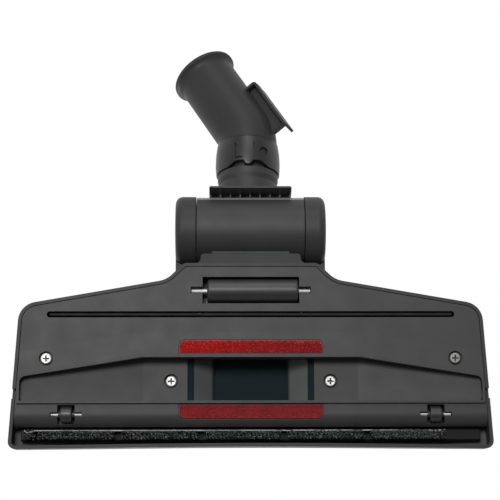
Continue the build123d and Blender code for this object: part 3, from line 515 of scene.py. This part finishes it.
@dataclass(frozen=True)
class Velvet:
    """Red velvet pile, with painted sheen that brightens it towards one end and a painted highlight on the
    tips along one long edge.
    """

    name: str
    dull: Colour
    painted_sheen: Colour
    painted_highlight: Colour
    half_length: float
    edge_y: float
    inner_y: float
    painted_sheen_share: float = 0.6
    worn_size: float = 6 * MM
    worn: Span = (0.5, 0.75)
    worn_most: float = 0.5
    worn_shade: float = 0.6
    tuft_size: float = 0.5 * MM
    painted_highlight_range: Span = (0.55, 0.9)
    nap_size: float = 0.3 * MM
    nap_depth: float = 0.05 * MM
    sheen: Colour = (0.9, 0.25, 0.22)

    def material(self) -> bpy.types.Material:
        """Make the material, with a shade for each tuft, painted sheen towards one end and a painted
        highlight along one edge.

        Returns:
            The material.
        """
        graph = Graph(self.name)
        # Painted sheen: the pile brightens towards one end, as where the nap catches the light
        painted_sheen_end = self.half_length * self.painted_sheen_share
        painted_sheen_mask = graph.span(graph.along("X"), -self.half_length, painted_sheen_end, 1.0, 0.0)
        shade = graph.blend(painted_sheen_mask, self.dull, self.painted_sheen)
        worn = graph.span(graph.noise(self.worn_size, 3.0), *self.worn, 0.0, self.worn_most)
        shade = graph.blend(worn, shade, scaled(self.dull, self.worn_shade))
        # Painted highlight: tufts near one long edge take a light colour, as the rounded edge catches the
        # light
        rim = graph.span(graph.along("Y"), self.edge_y, self.inner_y, *self.painted_highlight_range)
        tips = graph.combine(Sum.ABOVE, graph.cells(self.tuft_size), rim)
        graph.feed(graph.blend(tips, shade, self.painted_highlight), "Base Color")
        graph.feed(graph.relief(graph.noise(self.nap_size, 2.0), self.nap_depth), "Normal")
        graph.set(
            Roughness=0.85,
            Specular_IOR_Level=0.2,
            Sheen_Weight=0.3,
            Sheen_Roughness=0.4,
            Sheen_Tint=(*self.sheen, 1.0),
        )
        return graph.material


@dataclass(frozen=True)
class NylonFibre:
    """Black nylon bristle painted dark grey, lighter than it is as painted light in the shaded channel,
    dusty on some fibres and darker in patches.
    """

    name: str
    # Both colours are lighter than black nylon: painted light that makes up for the shade deep in the
    # channel; the lighter one also marks dust on some fibres
    colour: Colour = (0.16, 0.165, 0.17)
    dust_and_painted_light: Colour = (0.4, 0.4, 0.4)
    roughness: Span = (0.35, 0.6)
    gloss: float = 0.35
    fibre_size: float = 0.6 * MM
    dusted: Span = (0.5, 1.0)
    dust_most: float = 0.9
    patch_size: float = 5 * MM
    patched: Span = (0.45, 0.7)
    patch_most: float = 0.6
    patch_shade: float = 0.6

    def material(self) -> bpy.types.Material:
        """Make the material, with dust on some fibres and darker patches.

        Returns:
            The material.
        """
        graph = Graph(self.name)
        fibres = graph.cells(self.fibre_size)
        dusted = graph.span(fibres, *self.dusted, 0.0, self.dust_most)
        shade = graph.blend(dusted, self.colour, self.dust_and_painted_light)
        patched = graph.span(graph.noise(self.patch_size, 3.0), *self.patched, 0.0, self.patch_most)
        graph.feed(graph.blend(patched, shade, scaled(self.colour, self.patch_shade)), "Base Color")
        graph.feed(graph.span(fibres, 0.0, 1.0, *self.roughness), "Roughness")
        graph.set(Specular_IOR_Level=self.gloss)
        return graph.material


@dataclass(frozen=True)
class SoftRubber:
    """Matte black rubber, with a bloom in patches."""

    name: str
    colour: Colour = (0.022, 0.022, 0.023)
    roughness: Span = (0.62, 0.8)
    gloss: float = 0.3
    bloom_size: float = 9 * MM
    bloomed: Span = (0.45, 0.7)
    bloom_most: float = 0.7
    bloom_gain: float = 2.0
    grain_size: float = 0.3 * MM
    grain_depth: float = 0.01 * MM
    edge: float = 0.2 * MM

    def material(self) -> bpy.types.Material:
        """Make the material, with bloom and a fine matte grain.

        Returns:
            The material.
        """
        graph = Graph(self.name)
        bloom = graph.noise(self.bloom_size, 4.0)
        bloomed = graph.span(bloom, *self.bloomed, 0.0, self.bloom_most)
        graph.feed(graph.blend(bloomed, self.colour, scaled(self.colour, self.bloom_gain)), "Base Color")
        graph.feed(graph.span(bloom, *SWING, *self.roughness), "Roughness")
        grain = graph.noise(self.grain_size, 2.0)
        graph.feed(graph.relief(grain, self.grain_depth, graph.rounded(self.edge)), "Normal")
        graph.set(Specular_IOR_Level=self.gloss)
        return graph.material


@dataclass(frozen=True)
class PaleFilm:
    """Pale plastic film behind the bristles, scuffed in places; its pale colour is a painted highlight for
    the light caught along the edge of the bristle strip's backing.
    """

    name: str
    colour: Colour = (0.4, 0.4, 0.39)
    roughness: Span = (0.35, 0.6)
    scuff_size: float = 12 * MM
    scuff_stretch: Point = (1.0, 0.2, 0.2)
    scuffed: Span = (0.45, 0.6)
    scuff_shade: float = 0.45

    def material(self) -> bpy.types.Material:
        """Make the material, with grey scuffed stretches.

        Returns:
            The material.
        """
        graph = Graph(self.name)
        scuffs = graph.noise(self.scuff_size, 3.0, self.scuff_stretch)
        scuffed = graph.span(scuffs, *self.scuffed, 0.0, 1.0)
        graph.feed(graph.blend(scuffed, self.colour, scaled(self.colour, self.scuff_shade)), "Base Color")
        graph.feed(graph.span(scuffs, *SWING, *self.roughness), "Roughness")
        return graph.material


Finish = MouldedPlastic | TurnedSteel | PlatedScrew | SoftRubber


class Bench:
    """Blender's operators, used on one object at a time."""

    @staticmethod
    def clear() -> None:
        """Go back to object mode with nothing selected."""
        if bpy.context.object and bpy.context.object.mode != "OBJECT":
            bpy.ops.object.mode_set(mode="OBJECT")
        bpy.ops.object.select_all(action="DESELECT")

    @staticmethod
    def take(name: str) -> bpy.types.Object:
        """Name the object that was just added, with its place moved into its mesh.

        Args:
            name: Name of the piece.

        Returns:
            The object, at the origin.
        """
        piece = bpy.context.object
        piece.name = name
        piece.data.name = name
        bpy.ops.object.transform_apply(location=True, rotation=True, scale=True)
        return piece

    @staticmethod
    def only(piece: bpy.types.Object) -> None:
        """Select one object alone and make it the active one.

        Args:
            piece: Object to select.
        """
        Bench.clear()
        piece.select_set(True)
        bpy.context.view_layer.objects.active = piece

    @staticmethod
    def edit(piece: bpy.types.Object) -> None:
        """Open one object in edit mode with nothing selected in it.

        Args:
            piece: Object to open.
        """
        Bench.only(piece)
        bpy.ops.object.mode_set(mode="EDIT")
        bpy.ops.mesh.select_mode(type="VERT")
        bpy.ops.mesh.select_all(action="DESELECT")

    @staticmethod
    def pick(piece: bpy.types.Object, wanted: Callable[[Vector], bool]) -> None:
        """Select, in edit mode, only the vertices whose place is wanted.

        Args:
            piece: Object in edit mode.
            wanted: Test on a vertex's place.
        """
        bpy.ops.mesh.select_all(action="DESELECT")
        mesh = bmesh.from_edit_mesh(piece.data)
        for vertex in mesh.verts:
            vertex.select_set(wanted(vertex.co))
        mesh.select_flush(True)
        bmesh.update_edit_mesh(piece.data)

    @staticmethod
    def pick_edges(piece: bpy.types.Object, wanted: Callable[[Vector, Vector], bool]) -> None:
        """Select, in edit mode, only the edges whose ends are wanted.

        Args:
            piece: Object in edit mode.
            wanted: Test on the places of an edge's two ends.
        """
        bpy.ops.mesh.select_mode(type="EDGE")
        bpy.ops.mesh.select_all(action="DESELECT")
        mesh = bmesh.from_edit_mesh(piece.data)
        for edge in [edge for edge in mesh.edges if wanted(edge.verts[0].co, edge.verts[1].co)]:
            edge.select_set(True)
        bmesh.update_edit_mesh(piece.data)

    @staticmethod
    def shift(piece: bpy.types.Object, step: Point) -> None:
        """Move the whole mesh of an object, whose origin stays.

        Args:
            piece: Object to move.
            step: Step in the model's frame.
        """
        Bench.edit(piece)
        bpy.ops.mesh.select_all(action="SELECT")
        bpy.ops.transform.translate(value=step)
        bpy.ops.object.mode_set(mode="OBJECT")

    @staticmethod
    def row(piece: bpy.types.Object, count: int, step: Point) -> None:
        """Repeat an object's mesh in a row, by an Array modifier that is then applied.

        Args:
            piece: Object in object mode.
            count: Number of copies, the first included.
            step: Step from one copy to the next.
        """
        Bench.only(piece)
        repeat = piece.modifiers.new("row", "ARRAY")
        repeat.count = count
        repeat.use_relative_offset = False
        repeat.use_constant_offset = True
        repeat.constant_offset_displace = step
        bpy.ops.object.modifier_apply(modifier=repeat.name)

    @staticmethod
    def join(name: str, pieces: list[bpy.types.Object]) -> bpy.types.Object:
        """Join objects into one.

        Args:
            name: Name of the joined piece.
            pieces: Objects to join, the first of which stays.

        Returns:
            The joined object.
        """
        Bench.clear()
        for piece in pieces:
            piece.select_set(True)
        bpy.context.view_layer.objects.active = pieces[0]
        bpy.ops.object.join()
        return Bench.take(name)

    @staticmethod
    def smooth(piece: bpy.types.Object, angle: float) -> None:
        """Shade an object smooth.

        Args:
            piece: Object to shade.
            angle: Angle in degrees up to which an edge is smooth.
        """
        Bench.only(piece)
        bpy.ops.object.shade_smooth_by_angle(angle=math.radians(angle))


def dress(piece: bpy.types.Object, material: bpy.types.Material) -> None:
    """Give an object one material in place of those that it has."""
    piece.data.materials.clear()
    piece.data.materials.append(material)


@dataclass
class LintStrip:
    """Red lint strip: a pad with two rounded corners and a pile of leaning fibres on it."""

    node: str
    nap: Nap
    round_front: bool
    dull: Colour
    painted_sheen: Colour
    painted_highlight: Colour
    gap: float = 0.45 * MM
    corner: float = 4.0 * MM
    corner_cuts: int = 8
    depth: float = 1.2 * MM
    pad: float = 0.5 * MM
    pitch: float = 0.52 * MM
    fibre: float = 0.3 * MM
    scatter: float = 0.2 * MM
    nose_y: float = 20.0 * MM
    nose_radius: float = 9.0 * MM
    nose_cuts: int = 6
    rim_share: float = 0.35
    crease: float = 50.0
    seed: int = 7

    def __post_init__(self) -> None:
        """Take the strip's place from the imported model, less a gap all round."""
        self.low, self.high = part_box(self.node)
        self.low += Vector((self.gap, self.gap, 0))
        self.high -= Vector((self.gap, self.gap, 0))
        self.flat_top = self.low.z + self.depth

    def finish(self) -> Velvet:
        """Velvet for this strip, with a painted highlight along the edge with the rounded corners.

        Returns:
            The finish.
        """
        edge, other = (self.high.y, self.low.y) if self.round_front else (self.low.y, self.high.y)
        inner = edge + (other - edge) * self.rim_share
        name = f"{self.node}_velvet"
        return Velvet(name, self.dull, self.painted_sheen, self.painted_highlight, self.high.x, edge, inner)

    def lift(self, y: float) -> float:
        """Height that the lip's nose adds, which is none on the flat rear strip.

        Args:
            y: Place along Y.

        Returns:
            The height.
        """
        if not self.round_front or y <= self.nose_y:
            return 0.0
        return self.nose_radius - math.sqrt(self.nose_radius**2 - (y - self.nose_y) ** 2)

    def inside(self, place: Vector) -> bool:
        """Whether a place is inside the strip's plan, rounded corners included.

        Args:
            place: Point in the model's frame.

        Returns:
            True inside the plan.
        """
        margin = self.fibre / 2
        end = self.high.x - margin - abs(place.x)
        side = self.high.y - margin - place.y if self.round_front else place.y - self.low.y - margin
        other = place.y - self.low.y - margin if self.round_front else self.high.y - margin - place.y
        if min(end, side, other) < 0:
            return False
        reach = self.corner - margin
        if end < reach and side < reach:
            return math.hypot(reach - end, reach - side) < reach
        return True

    def backing(self) -> bpy.types.Object:
        """Model the pad that carries the pile.

        Returns:
            The pad, with its two corners rounded.
        """
        Bench.clear()
        centre = (self.low + self.high) / 2
        size = self.high - self.low
        bpy.ops.mesh.primitive_cube_add(size=1, location=(0, centre.y, self.flat_top - self.pad / 2))
        bpy.context.object.scale = (size.x, size.y, self.pad)
        pad = Bench.take(f"{self.node}_pad")
        edge_y = self.high.y if self.round_front else self.low.y
        Bench.edit(pad)
        Bench.pick_edges(
            pad,
            lambda first, second: abs(first.z - second.z) > self.pad / 2
            and abs(first.y - edge_y) < self.pad,
        )
        bpy.ops.mesh.bevel(offset=self.corner, segments=self.corner_cuts, affect="EDGES")
        bpy.ops.mesh.select_mode(type="VERT")
        for cut in range(1, self.nose_cuts if self.round_front else 1):
            place_y = self.nose_y + cut * (self.high.y - self.nose_y) / self.nose_cuts
            bpy.ops.mesh.select_all(action="SELECT")
            bpy.ops.mesh.bisect(plane_co=(0, place_y, 0), plane_no=(0, 1, 0))
        self.follow(pad)
        bpy.ops.object.mode_set(mode="OBJECT")
        return pad

    def follow(self, piece: bpy.types.Object) -> None:
        """Lift each row of vertices, in edit mode, on to the lip's curve.

        Args:
            piece: Object in edit mode, flat so far.
        """
        rows = sorted({round(v.co.y, 6) for v in bmesh.from_edit_mesh(piece.data).verts})
        for row_y in rows:
            if self.lift(row_y) > 0:
                Bench.pick(piece, lambda place: abs(place.y - row_y) < MICRON)
                bpy.ops.transform.translate(value=(0, 0, self.lift(row_y)))

    def pile(self) -> bpy.types.Object:
        """Model the pile: one fibre, repeated in staggered rows and cut to the strip's plan.

        Returns:
            The pile, with its tips scattered.
        """
        Bench.clear()
        size = self.high - self.low
        height = self.flat_top - self.pad - self.low.z
        start = Vector((-size.x / 2, self.low.y, self.low.z + height / 2))
        bpy.ops.mesh.primitive_cone_add(
            vertices=4,
            radius1=self.fibre,
            radius2=0,
            depth=height,
            end_fill_type="NOTHING",
            location=start,
            rotation=(math.pi, 0, 0),
        )
        pile = Bench.take(f"{self.node}_pile")
        Bench.edit(pile)
        bpy.ops.mesh.select_all(action="SELECT")
        bpy.ops.mesh.duplicate()
        bpy.ops.transform.translate(value=(self.pitch / 2, self.pitch, 0))
        bpy.ops.object.mode_set(mode="OBJECT")
        Bench.row(pile, math.ceil(size.x / self.pitch) + 1, (self.pitch, 0, 0))
        Bench.row(pile, math.ceil(size.y / self.pitch / 2) + 1, (0, 2 * self.pitch, 0))
        Bench.edit(pile)
        mesh = bmesh.from_edit_mesh(pile.data)
        outside = {
            vertex
            for vertex in mesh.verts
            if vertex.co.z < self.low.z + height / 2 and not self.inside(vertex.co)
        }
        for vertex in outside:
            for edge in vertex.link_edges:
                edge.other_vert(vertex).select_set(True)
            vertex.select_set(True)
        bmesh.update_edit_mesh(pile.data)
        bpy.ops.mesh.delete(type="VERT")
        self.follow(pile)
        Bench.pick(pile, lambda place: place.z - self.lift(place.y) < self.low.z + height / 2)
        bpy.ops.transform.translate(value=(0, self.nap.value, self.scatter))
        bpy.ops.transform.vertex_random(offset=self.scatter, seed=self.seed)
        bpy.ops.object.mode_set(mode="OBJECT")
        return pile

    def build(self) -> None:
        """Model the strip and put it in its solid's place."""
        strip = Bench.join(f"{self.node}_velvet", [self.backing(), self.pile()])
        Bench.smooth(strip, self.crease)
        dress(strip, self.finish().material())
        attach(strip, "head")
        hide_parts(self.node)
        log.info("%s: %d faces", strip.name, len(strip.data.polygons))


@dataclass
class BristleStrip:
    """Front bristles: groups of tufts in two rows on a carrier, with a torn pale film behind them."""

    nylon: NylonFibre
    film_plastic: PaleFilm
    carrier_plastic: MouldedPlastic
    fibres: int = 26
    fibre: float = 0.12 * MM
    tuft: float = 1.5 * MM
    pitch: float = 2.25 * MM
    rows: int = 2
    row_gap: float = 2.6 * MM
    group: float = 46.1 * MM
    group_pitch: float = 50.3 * MM
    groups: int = 5
    field_start: float = -128.95 * MM
    end_start: float = -138.05 * MM
    end_tufts: int = 3
    length: float = 7.0 * MM
    backing: float = 1.6 * MM
    scatter: float = 0.6 * MM
    sink: float = 0.5 * MM
    splay: float = 1.25
    stagger: float = 0.4 * MM
    end_stagger: float = 0.3 * MM
    end_squeeze: float = 0.9
    lowest: float = 0.2 * MM
    flatten: float = 0.2
    crease: float = 40.0
    bevel: float = 0.4 * MM
    bevel_cuts: int = 2
    field_seed: int = 11
    end_seed: int = 5
    scatter_seed: int = 3
    film: float = 0.6 * MM
    film_inset: float = 0.4 * MM
    film_short: float = 0.5 * MM
    film_span: Span = (-137.2 * MM, 114.8 * MM)
    tears: tuple[Span, ...] = (
        (15.4 * MM, 18.2 * MM),
        (21.4 * MM, 24.6 * MM),
        (42.6 * MM, 43.7 * MM),
        (52.4 * MM, 53.7 * MM),
        (62.4 * MM, 66.7 * MM),
        (74.2 * MM, 77.2 * MM),
        (89.7 * MM, 107.2 * MM),
        (109.6 * MM, 113.3 * MM),
    )
    tear_depth: float = 4.0 * MM
    kink: tuple[float, float, float] = (-135.3 * MM, -131.3 * MM, 1.4 * MM)
    node: ClassVar[str] = "front_bristles"

    def __post_init__(self) -> None:
        """Take the strip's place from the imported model."""
        self.low, self.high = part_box(self.node)
        self.root = self.high.z - self.backing
        self.middle = (self.low.y + self.high.y) / 2

    def torn_film(self) -> bpy.types.Object:
        """Model the film: a strip on edge, kinked at its left end and torn along its right half.

        Returns:
            The film.
        """
        Bench.clear()
        start, end = self.film_span
        edge = self.low.z + self.film_short
        place = ((start + end) / 2, self.low.y + self.film_inset + self.film / 2, (self.root + edge) / 2)
        bpy.ops.mesh.primitive_cube_add(size=1, location=place)
        bpy.context.object.scale = (end - start, self.film, self.root - edge)
        film = Bench.take("bristle_film")
        Bench.edit(film)
        kink_x, straight_x, kink_step = self.kink
        cuts = [kink_x, straight_x]
        for tear in self.tears:
            cuts += [tear[0] - self.film, tear[0], tear[1], tear[1] + self.film]
        for cut_x in cuts:
            bpy.ops.mesh.select_all(action="SELECT")
            bpy.ops.mesh.bisect(plane_co=(cut_x, 0, 0), plane_no=(1, 0, 0))
        hair = self.film / 10
        for tear in self.tears:
            Bench.pick(
                film,
                lambda at: tear[0] - hair < at.x < tear[1] + hair and at.z < edge + self.film,
            )
            bpy.ops.transform.translate(value=(0, 0, self.tear_depth))
        Bench.pick(film, lambda at: abs(at.x - kink_x) < hair)
        bpy.ops.transform.translate(value=(0, kink_step, 0))
        bpy.ops.object.mode_set(mode="OBJECT")
        dress(film, self.film_plastic.material())
        return film

    def carrier(self) -> bpy.types.Object:
        """Model the carrier strip, with its lower edges bevelled.

        Returns:
            The carrier.
        """
        Bench.clear()
        size = self.high - self.low
        bpy.ops.mesh.primitive_cube_add(size=1, location=(0, self.middle, self.high.z - self.backing / 2))
        bpy.context.object.scale = (size.x, size.y, self.backing)
        carrier = Bench.take("bristle_carrier")
        Bench.edit(carrier)
        Bench.pick(carrier, lambda place: place.z < self.root + self.backing / 2)
        bpy.ops.mesh.bevel(offset=self.bevel, segments=self.bevel_cuts, affect="EDGES")
        bpy.ops.object.mode_set(mode="OBJECT")
        dress(carrier, self.carrier_plastic.material())
        return carrier

    def one_tuft(self, name: str, seed: int) -> bpy.types.Object:
        """Model one tuft of the rear row, at X = 0: fibres round a middle, splayed at their tips.

        Args:
            name: Name of the object.
            seed: Seed of the fibres' places.

        Returns:
            The tuft.
        """
        draw = random.Random(seed)
        Bench.clear()
        place = Vector((0, self.middle - self.row_gap / 2, self.root - self.length / 2))
        bpy.ops.mesh.primitive_cone_add(
            vertices=4,
            radius1=self.fibre,
            radius2=self.fibre / 2,
            depth=self.length,
            location=place,
            rotation=(math.pi, 0, 0),
        )
        tuft = Bench.take(name)
        Bench.edit(tuft)
        bpy.ops.mesh.select_all(action="SELECT")
        spot = Vector((0, 0, 0))
        for _ in range(self.fibres - 1):
            reach = self.tuft * math.sqrt(draw.random())
            turn = draw.uniform(0, 2 * math.pi)
            sink = draw.uniform(0, self.sink)
            step = Vector((reach * math.cos(turn), reach * math.sin(turn), sink))
            bpy.ops.mesh.duplicate()
            bpy.ops.transform.translate(value=step - spot)
            spot = step
        Bench.pick(tuft, lambda at: at.z < self.root - self.length / 2)
        bpy.ops.transform.resize(value=(self.splay, self.splay, 1), center_override=place)
        bpy.ops.object.mode_set(mode="OBJECT")
        return tuft

    def field(self) -> bpy.types.Object:
        """Repeat a tuft into the groups of the field.

        Returns:
            All the groups as one object.
        """
        tufts = self.one_tuft("bristle_field", self.field_seed)
        Bench.shift(tufts, (self.field_start + self.tuft, 0, 0))
        Bench.row(tufts, self.rows, (self.stagger, self.row_gap, 0))
        count = int((self.group - 2 * self.tuft) / self.pitch) + 1
        Bench.row(tufts, count, (self.pitch, 0, 0))
        Bench.row(tufts, self.groups, (self.group_pitch, 0, 0))
        return tufts

    def end_group(self) -> bpy.types.Object:
        """Repeat a tuft into the short group at the left end.

        Returns:
            The group.
        """
        tufts = self.one_tuft("bristle_end", self.end_seed)
        Bench.shift(tufts, (self.end_start + self.tuft, 0, 0))
        Bench.row(tufts, self.rows, (self.end_stagger, self.row_gap, 0))
        Bench.row(tufts, self.end_tufts, (self.pitch * self.end_squeeze, 0, 0))
        return tufts

    def build(self) -> None:
        """Model the bristles and put them in their solid's place."""
        tufts = Bench.join("bristle_tufts", [self.field(), self.end_group()])
        Bench.edit(tufts)
        Bench.pick(tufts, lambda place: place.z < self.root - self.length / 2)
        bpy.ops.transform.vertex_random(offset=self.scatter, seed=self.scatter_seed)
        Bench.pick(tufts, lambda place: place.z < self.low.z)
        level = (0, 0, self.low.z + self.lowest)
        bpy.ops.transform.resize(value=(1, 1, self.flatten), center_override=level)
        bpy.ops.object.mode_set(mode="OBJECT")
        Bench.smooth(tufts, self.crease)
        dress(tufts, self.nylon.material())
        strip = Bench.join("bristle_strip", [tufts, self.carrier(), self.torn_film()])
        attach(strip, "brush")
        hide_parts(self.node)
        log.info("%s: %d faces", strip.name, len(strip.data.polygons))


@dataclass
class Dressing:
    """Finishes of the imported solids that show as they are."""

    nodes: dict[str, bpy.types.Object]

    def finishes(self) -> dict[str, Finish]:
        """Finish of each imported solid.

        Returns:
            Finishes by the solid's name.
        """
        cover = MouldedPlastic("cover_plastic", grain=Grain.SPARKED, roughness=0.48, gloss=0.2)
        sole = MouldedPlastic("sole_plastic", (0.043, 0.043, 0.043), roughness=0.5, gloss=0.3)
        # Duct base colour lighter than the other plastics: painted light on the lit side panels inside the
        # mouth; its ceiling and ledges carry painted shade
        duct = ShadedDuctPlastic("duct_plastic", (0.1, 0.106, 0.105), roughness=0.55, gloss=0.25)
        barrel = RibbedPlastic("barrel_plastic", (0.036, 0.036, 0.0355), roughness=0.52, gloss=0.34)
        collar = MouldedPlastic("collar_plastic", (0.017, 0.017, 0.0185), roughness=0.4)
        elbow = MouldedPlastic("elbow_plastic", (0.041, 0.041, 0.042), grain=Grain.SPARKED, gloss=0.16)
        # Frame nearly black: painted shade inside the brush channel
        frame = MouldedPlastic("frame_plastic", (0.006, 0.0065, 0.007), roughness=0.6, gloss=0.2)
        pedal = MouldedPlastic("pedal_plastic", (0.036, 0.036, 0.037), 0.5, Grain.SPARKED, gloss=0.2)
        roller = MouldedPlastic("roller_plastic", (0.033, 0.033, 0.034), roughness=0.4, edge=0.4 * MM)
        axle = TurnedSteel("axle_steel")
        outer = PlatedScrew("outer_screw_zinc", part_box("sole_screws_outer")[0].z, (0.2, 0.2, 0.19))
        inner = PlatedScrew("inner_screw_zinc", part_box("sole_screws_inner")[0].z)
        wiper = SoftRubber("wiper_rubber", (0.005, 0.005, 0.0055))
        seal = SoftRubber("seal_rubber")
        return {
            "top_cover": cover,
            "sole_plate": sole,
            "air_duct": duct,
            "tilt_barrel": barrel,
            "swivel_collar": collar,
            "elbow": elbow,
            "brush_frame": frame,
            "foot_pedal": pedal,
            "rear_roller": roller,
            "front_wheel_left": roller,
            "front_wheel_right": roller,
            "rear_roller_axle": axle,
            "front_axle_left": axle,
            "front_axle_right": axle,
            "pedal_pin": axle,
            "sole_screws_outer": outer,
            "sole_screws_inner": inner,
            "rear_wiper": wiper,
            "swivel_seal": seal,
        }

    def build(self) -> None:
        """Make each finish once and put it on its solids."""
        made: dict[str, bpy.types.Material] = {}
        for node, finish in self.finishes().items():
            if finish.name not in made:
                made[finish.name] = finish.material()
            dress(self.nodes[node], made[finish.name])
            log.info("%s: %s", node, finish.name)


@dataclass(frozen=True)
class SoftLamp:
    """Soft square lamp that faces the head, and that the camera does not see."""

    name: str
    place: Point
    power: float
    side: float
    mirrored: bool = True

    def build(self, aim: Point) -> None:
        """Add the lamp, mirrored in the head's gloss or not.

        Args:
            aim: Point that it faces.
        """
        data = bpy.data.lights.new(self.name, "AREA")
        data.energy = self.power
        data.size = self.side
        lamp = bpy.data.objects.new(self.name, data)
        lamp.location = self.place
        lamp.rotation_euler = (Vector(aim) - Vector(self.place)).to_track_quat("-Z", "Y").to_euler()
        lamp.visible_camera = False
        lamp.visible_glossy = self.mirrored
        bpy.context.scene.collection.objects.link(lamp)


@dataclass
class Studio:
    """Camera, soft lamps, white backdrop and a pale floor that shows from above only."""

    tilt: float = 10.0
    yaw: float = -0.95
    distance: float = 0.95
    lens: float = 110.8
    clip: Span = (0.05, 50.0)
    look_at: Point = (-0.0005, -0.0804, 0.002)
    aim: Point = (0.0, -0.06, 0.01)
    lamps: tuple[SoftLamp, ...] = (
        SoftLamp("sole_key", (-0.3, -0.62, -2.2), 29.5, 0.6),
        SoftLamp("sole_fill", (-0.8, 0.0, -1.0), 1.6, 0.8),
        SoftLamp("neck_fill", (0.0, -1.7, -1.2), 9.0, 0.8),
        SoftLamp("cover_key", (-0.5, 1.2, 0.9), 14.0, 0.7),
        SoftLamp("cover_fill", (0.1, -0.2, 1.3), 12.0, 0.9, mirrored=False),
    )
    backdrop: float = 1.0
    ambient: float = 0.08
    rear_shade: float = 0.35
    front_shade: float = 0.02
    shade_heights: Span = (-0.12, -0.45)
    shade_reach: Span = (-0.35, 0.55)
    floor_size: float = 8.0
    floor_patch: float = 0.4
    floor_colours: tuple[Colour, Colour] = ((0.86, 0.86, 0.86), (0.89, 0.89, 0.885))

    def camera(self) -> None:
        """Set the camera below the head, looking up with the front edge at the bottom."""
        data = bpy.data.cameras.new("photo_camera")
        data.lens = self.lens
        data.clip_start, data.clip_end = self.clip
        camera = bpy.data.objects.new("photo_camera", data)
        bpy.context.scene.collection.objects.link(camera)
        turn, aside = math.radians(self.tilt), math.radians(self.yaw)
        back = Vector((0, math.sin(turn), -math.cos(turn))) * math.cos(aside)
        back.x = math.sin(aside)
        up = Vector((0, -math.cos(turn), -math.sin(turn)))
        place = Vector(self.look_at) + back * self.distance
        axes = Matrix((up.cross(back), up, back)).transposed()
        camera.matrix_world = Matrix.Translation(place) @ axes.to_4x4()
        bpy.context.scene.camera = camera

    def world(self) -> None:
        """White backdrop for the camera and for reflections, which see it darken below the head."""
        world = bpy.data.worlds.new("studio")
        bpy.context.scene.world = world
        world.use_nodes = True
        tree = Tree(world.node_tree)
        path = tree.nodes.new("ShaderNodeLightPath").outputs
        way = tree.nodes.new("ShaderNodeSeparateXYZ")
        tree.links.new(tree.nodes.new("ShaderNodeTexCoord").outputs["Generated"], way.inputs["Vector"])
        below = tree.span(way.outputs["Z"], *self.shade_heights, 0.0, 1.0)
        shade = tree.span(way.outputs["Y"], *self.shade_reach, self.rear_shade, self.front_shade)
        mirrored = tree.combine(Sum.LARGER, path["Is Glossy Ray"], path["Is Transmission Ray"])
        around = tree.mix(mirrored, self.ambient, tree.mix(below, self.backdrop, shade))
        background = tree.nodes["Background"].inputs
        tree.links.new(tree.mix(path["Is Camera Ray"], around, self.backdrop), background["Strength"])
        background["Color"].default_value = (1, 1, 1, 1)

    def floor(self) -> None:
        """Pale floor that only the camera sees, and only from above."""
        Bench.clear()
        bpy.ops.mesh.primitive_grid_add(x_subdivisions=2, y_subdivisions=2, size=self.floor_size)
        floor = Bench.take("studio_floor")
        graph = Graph("studio_floor")
        graph.set(Roughness=0.9, Specular_IOR_Level=0.1)
        graph.feed(graph.blend(graph.noise(self.floor_patch), *self.floor_colours), "Base Color")
        path = graph.nodes.new("ShaderNodeLightPath")
        side = graph.nodes.new("ShaderNodeNewGeometry")
        shown = graph.combine(Sum.ABOVE, path.outputs["Is Camera Ray"], side.outputs["Backfacing"])
        clear = graph.nodes.new("ShaderNodeBsdfTransparent")
        mixed = graph.nodes.new("ShaderNodeMixShader")
        graph.links.new(shown, mixed.inputs[0])
        graph.links.new(clear.outputs[0], mixed.inputs[1])
        graph.links.new(graph.shader.outputs[0], mixed.inputs[2])
        output = graph.nodes["Material Output"]
        graph.links.new(mixed.outputs[0], output.inputs["Surface"])
        dress(floor, graph.material)

    def build(self) -> None:
        """Set up the whole studio."""
        self.camera()
        for lamp in self.lamps:
            lamp.build(self.aim)
        self.world()
        self.floor()
        bpy.context.scene.view_settings.view_transform = "Standard"
        log.info("studio ready")


def main() -> None:
    """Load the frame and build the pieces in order."""
    logging.basicConfig(level=logging.INFO, format="%(name)s: %(message)s")
    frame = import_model()
    Studio().build()
    Dressing(frame["nodes"]).build()
    # Second and third colours of each strip: painted sheen at its brighter end and painted highlight along
    # its edge
    crimson, scarlet, coral = (0.32, 0.014, 0.017), (0.5, 0.008, 0.008), (0.64, 0.06, 0.05)
    LintStrip("rear_lint_strip", Nap.BACKWARD, False, crimson, scarlet, coral).build()
    maroon, ruby, rose = (0.27, 0.026, 0.03), (0.31, 0.024, 0.026), (0.4, 0.05, 0.04)
    LintStrip("front_lint_strip", Nap.FORWARD, True, maroon, ruby, rose).build()
    # Carrier nearly black: painted shade in the gaps between the tufts
    carrier = MouldedPlastic("carrier_plastic", (0.008, 0.008, 0.0085), roughness=0.6, gloss=0.2)
    BristleStrip(NylonFibre("bristle_nylon"), PaleFilm("film_plastic"), carrier).build()


if __name__ == "__main__":
    main()
